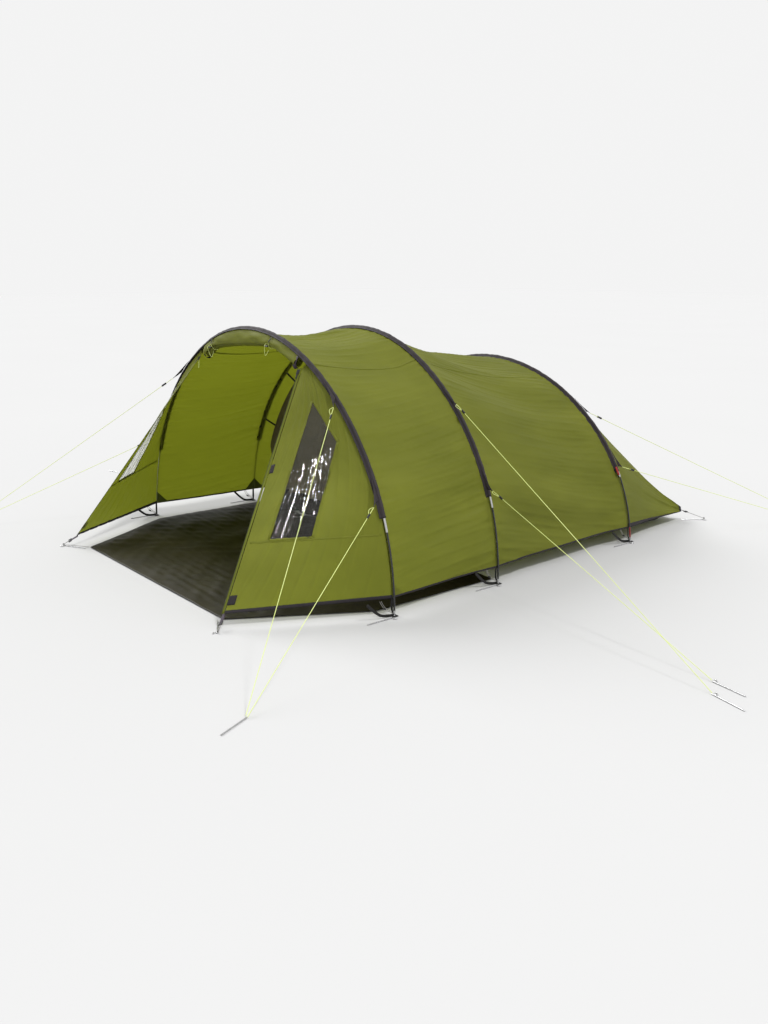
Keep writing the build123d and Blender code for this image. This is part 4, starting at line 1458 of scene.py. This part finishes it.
def add_tub():
    """Floor and raised sides as one sheet, rounded where the sides turn up."""
    outline = np.array(tub_outline())
    centre = np.array([0.0, (INNER_Y + INNER_BACK) / 2])
    ring = []
    for a, b in zip(outline, np.roll(outline, -1, 0)):
        count = max(int(np.linalg.norm(b - a) / 0.03), 2)
        ring += [a + (b - a) * f for f in np.linspace(0, 1, count, endpoint=False)]
    ring = np.array(ring)
    rows = []
    inward = unit(centre - ring)
    for f in np.linspace(1, 0, 12):
        rows.append(np.c_[ring + inward * 0.004, np.full(len(ring), TUB - 0.002 - (TUB - 0.014) * (1 - f))])
    rows.append(np.c_[ring + inward * 0.009, np.full(len(ring), 0.006)])
    for f in np.linspace(0.02, 1, 26):
        flat = ring + inward * 0.009 + (centre - ring) * f * 0.995
        z = 0.004 + 0.0018 * (1 + ripple(flat[:, 0], flat[:, 1], 8, 10, 30, 200))
        rows.append(np.c_[flat, z])
    points = np.array(rows)
    wave = ripple(points[:12, :, 0] + points[:12, :, 1], points[:12, :, 2] * 0.4, 8, 12, 40, 201) * 0.002
    points[:12, :, :2] += inward[None] * (wave + 0.002)[..., None]
    uvs = points[..., :2] + points[..., 2:3]
    tub = thicken(grid("inner_tub", points, uvs, GROUND_CLOTH, close=True), CLOTH_THICK)
    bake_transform(tub)
    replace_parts(tub, "inner_floor")


add_tub()


# half width, bottom edge, and height where the round top starts
DOORWAY = (0.404, 0.186, 0.62)
DOOR = (0.4, 0.19, 0.62)


def add_wall():
    """The inner tent's front: a sheet with a round-topped doorway."""
    rim, _ = inner_section(MIDDLE, INNER_Y, 181)
    door = np.array([door_point(p, *DOORWAY) for p in np.linspace(0, 1, 181)])
    points = np.array([door * (1 - f) + rim * f for f in np.linspace(0, 1, 40)])
    points[..., 1] = INNER_Y + 0.0015 + 0.004 * ripple(points[..., 0], points[..., 2], 8, 6, 20, 220) * fade(
        np.linspace(0, 1, 40)[:, None], 0.15
    )
    uvs = points[..., [0, 2]]
    wall = thicken(grid("inner_front", points, uvs, INNER_CLOTH), CLOTH_THICK)
    wall = join("inner_front", [wall, grid_sill()])
    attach(wall, "middle_hoop")
    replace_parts(wall, "inner_front_wall")


def door_point(p, half, low, spring):
    """The doorway's outline from its lower right corner over to its lower left one."""
    side, arc = spring - low, math.pi * half
    total = 2 * side + arc
    run = p * total
    if run < side:
        return half, 0.0, low + run
    if run < side + arc:
        a = (run - side) / half
        return half * math.cos(a), 0.0, spring + half * math.sin(a)
    return -half, 0.0, spring - (run - side - arc)


def grid_sill():
    """The strip of wall below the doorway."""
    half, low, _ = DOORWAY
    x = np.linspace(-1, 1, 60)
    rows = []
    for f in np.linspace(0, 1, 6):
        z = TUB + (low - TUB) * f
        rows.append(np.stack([x * (FLOOR_HALF * (1 - f) + half * f), np.full_like(x, INNER_Y + 0.0015),
                              np.full_like(x, z)], -1))
    points = np.array(rows)
    return thicken(grid("sill", points, points[..., [0, 2]], INNER_CLOTH), CLOTH_THICK)


add_wall()


def add_inner_door():
    half, low, _ = DOOR
    outline = np.array([door_point(p, *DOOR) for p in np.linspace(0, 1, 161)])
    centre = np.array([0, 0, 0.6])
    bottom = np.array([(x, 0, low) for x in np.linspace(-half, half, 40)])[1:-1]
    outline = np.concatenate([outline, bottom])
    rows = [outline * (1 - f) + centre * f for f in np.linspace(0, 0.995, 30)]
    points = np.array(rows)
    f = np.linspace(0, 1, 30)[:, None]
    points[..., 1] = INNER_Y + 0.0015 + 0.005 * ripple(points[..., 0], points[..., 2], 8, 6, 20, 230) * fade(
        f / 2, 0.1
    )
    door = thicken(grid("sleeping_door", points, points[..., [0, 2]], INNER_CLOTH, close=True), CLOTH_THICK)
    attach(door, "inner_door")
    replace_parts(door, "inner_door")


add_inner_door()


# ---- CAD nodes that keep their shape --------------------------------------------------
def dress():
    """Gives each carried-over CAD node its material: that of the last word that fits its name."""
    looks = {
        "pole": POLE_BLACK, "ferrules": STEEL, "slider": BLACK_PLASTIC, "toggles": BLACK_PLASTIC,
        "straps": WEBBING, "hooks": WEBBING, "ties": WEBBING, "guy": NEON, "rear_pole": REAR_POLE,
        "runner": BLACK_PLASTIC, "pegs": STEEL,
    }
    for name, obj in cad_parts.items():
        material = [WEBBING, *(look for word, look in looks.items() if word in name)][-1]
        for slot in obj.material_slots:
            slot.material = material
        if not obj.material_slots:
            obj.data.materials.append(material)


dress()


# ---- stage ----------------------------------------------------------------------------
FLOOR, FLOOR_REACH = 0.502, 60  # linear grey, and metres from the middle to the edge


def floor_paint():
    n = Nodes("floor_paint")
    spots = n.noise(n.scaled(0.4, 0.4, 0.4, "Object"), 1.0, 2.0)
    n.colour(n.ramp(spots, [(0.3, (FLOOR,) * 3 + (1,)), (0.7, (FLOOR * 1.01,) * 3 + (1,))]))
    n.set(Roughness=0.95, Specular_IOR_Level=0.0)
    return n.material


def add_stage():
    floor = grid(
        "floor",
        np.array([[(x * FLOOR_REACH, y * FLOOR_REACH, -0.001) for x in (-1, 1)] for y in (-1, 1)]),
        np.zeros((2, 2, 2)),
        floor_paint(),
    )
    world = bpy.data.worlds.new("studio")
    bpy.context.scene.world = world
    world.use_nodes = True
    world.node_tree.nodes["Background"].inputs[0].default_value = (1, 1, 1, 1)
    world.node_tree.nodes["Background"].inputs[1].default_value = 0.9
    bpy.context.scene.view_settings.view_transform = "Standard"


add_stage()


def add_lights():
    """Soft suns, so that the floor is evenly lit out to its edge, and one small bright lamp whose
    reflection the clear window shows."""
    for name, way, angle, power in (
        ("key", (-0.60, -0.12, -1.0), 8, 1.75),
        ("back", (0.80, 0.10, -0.65), 35, 2.1),
    ):
        data = bpy.data.lights.new(name, "SUN")
        data.angle, data.energy = math.radians(angle), power
        light = add_object(name, data)
        light.rotation_euler = Vector(way).to_track_quat("-Z", "Y").to_euler()
    eye = np.array(bpy.context.scene.camera.location)
    seen = WINDOW[2] * 0.35 + WINDOW[3] * 0.35 + WINDOW[0] * 0.15 + WINDOW[1] * 0.15
    way = unit(seen - eye)
    bounce = way - 2 * (way @ WINDOW_NORMAL) * WINDOW_NORMAL
    data = bpy.data.lights.new("glare", "SPOT")
    data.spot_size, data.spot_blend = math.radians(8), 0.4
    data.shadow_soft_size, data.energy = 0.22, 300
    light = add_object("glare", data)
    light.location = seen + bounce * 4
    light.rotation_euler = Vector(-bounce).to_track_quat("-Z", "Y").to_euler()


add_lights()
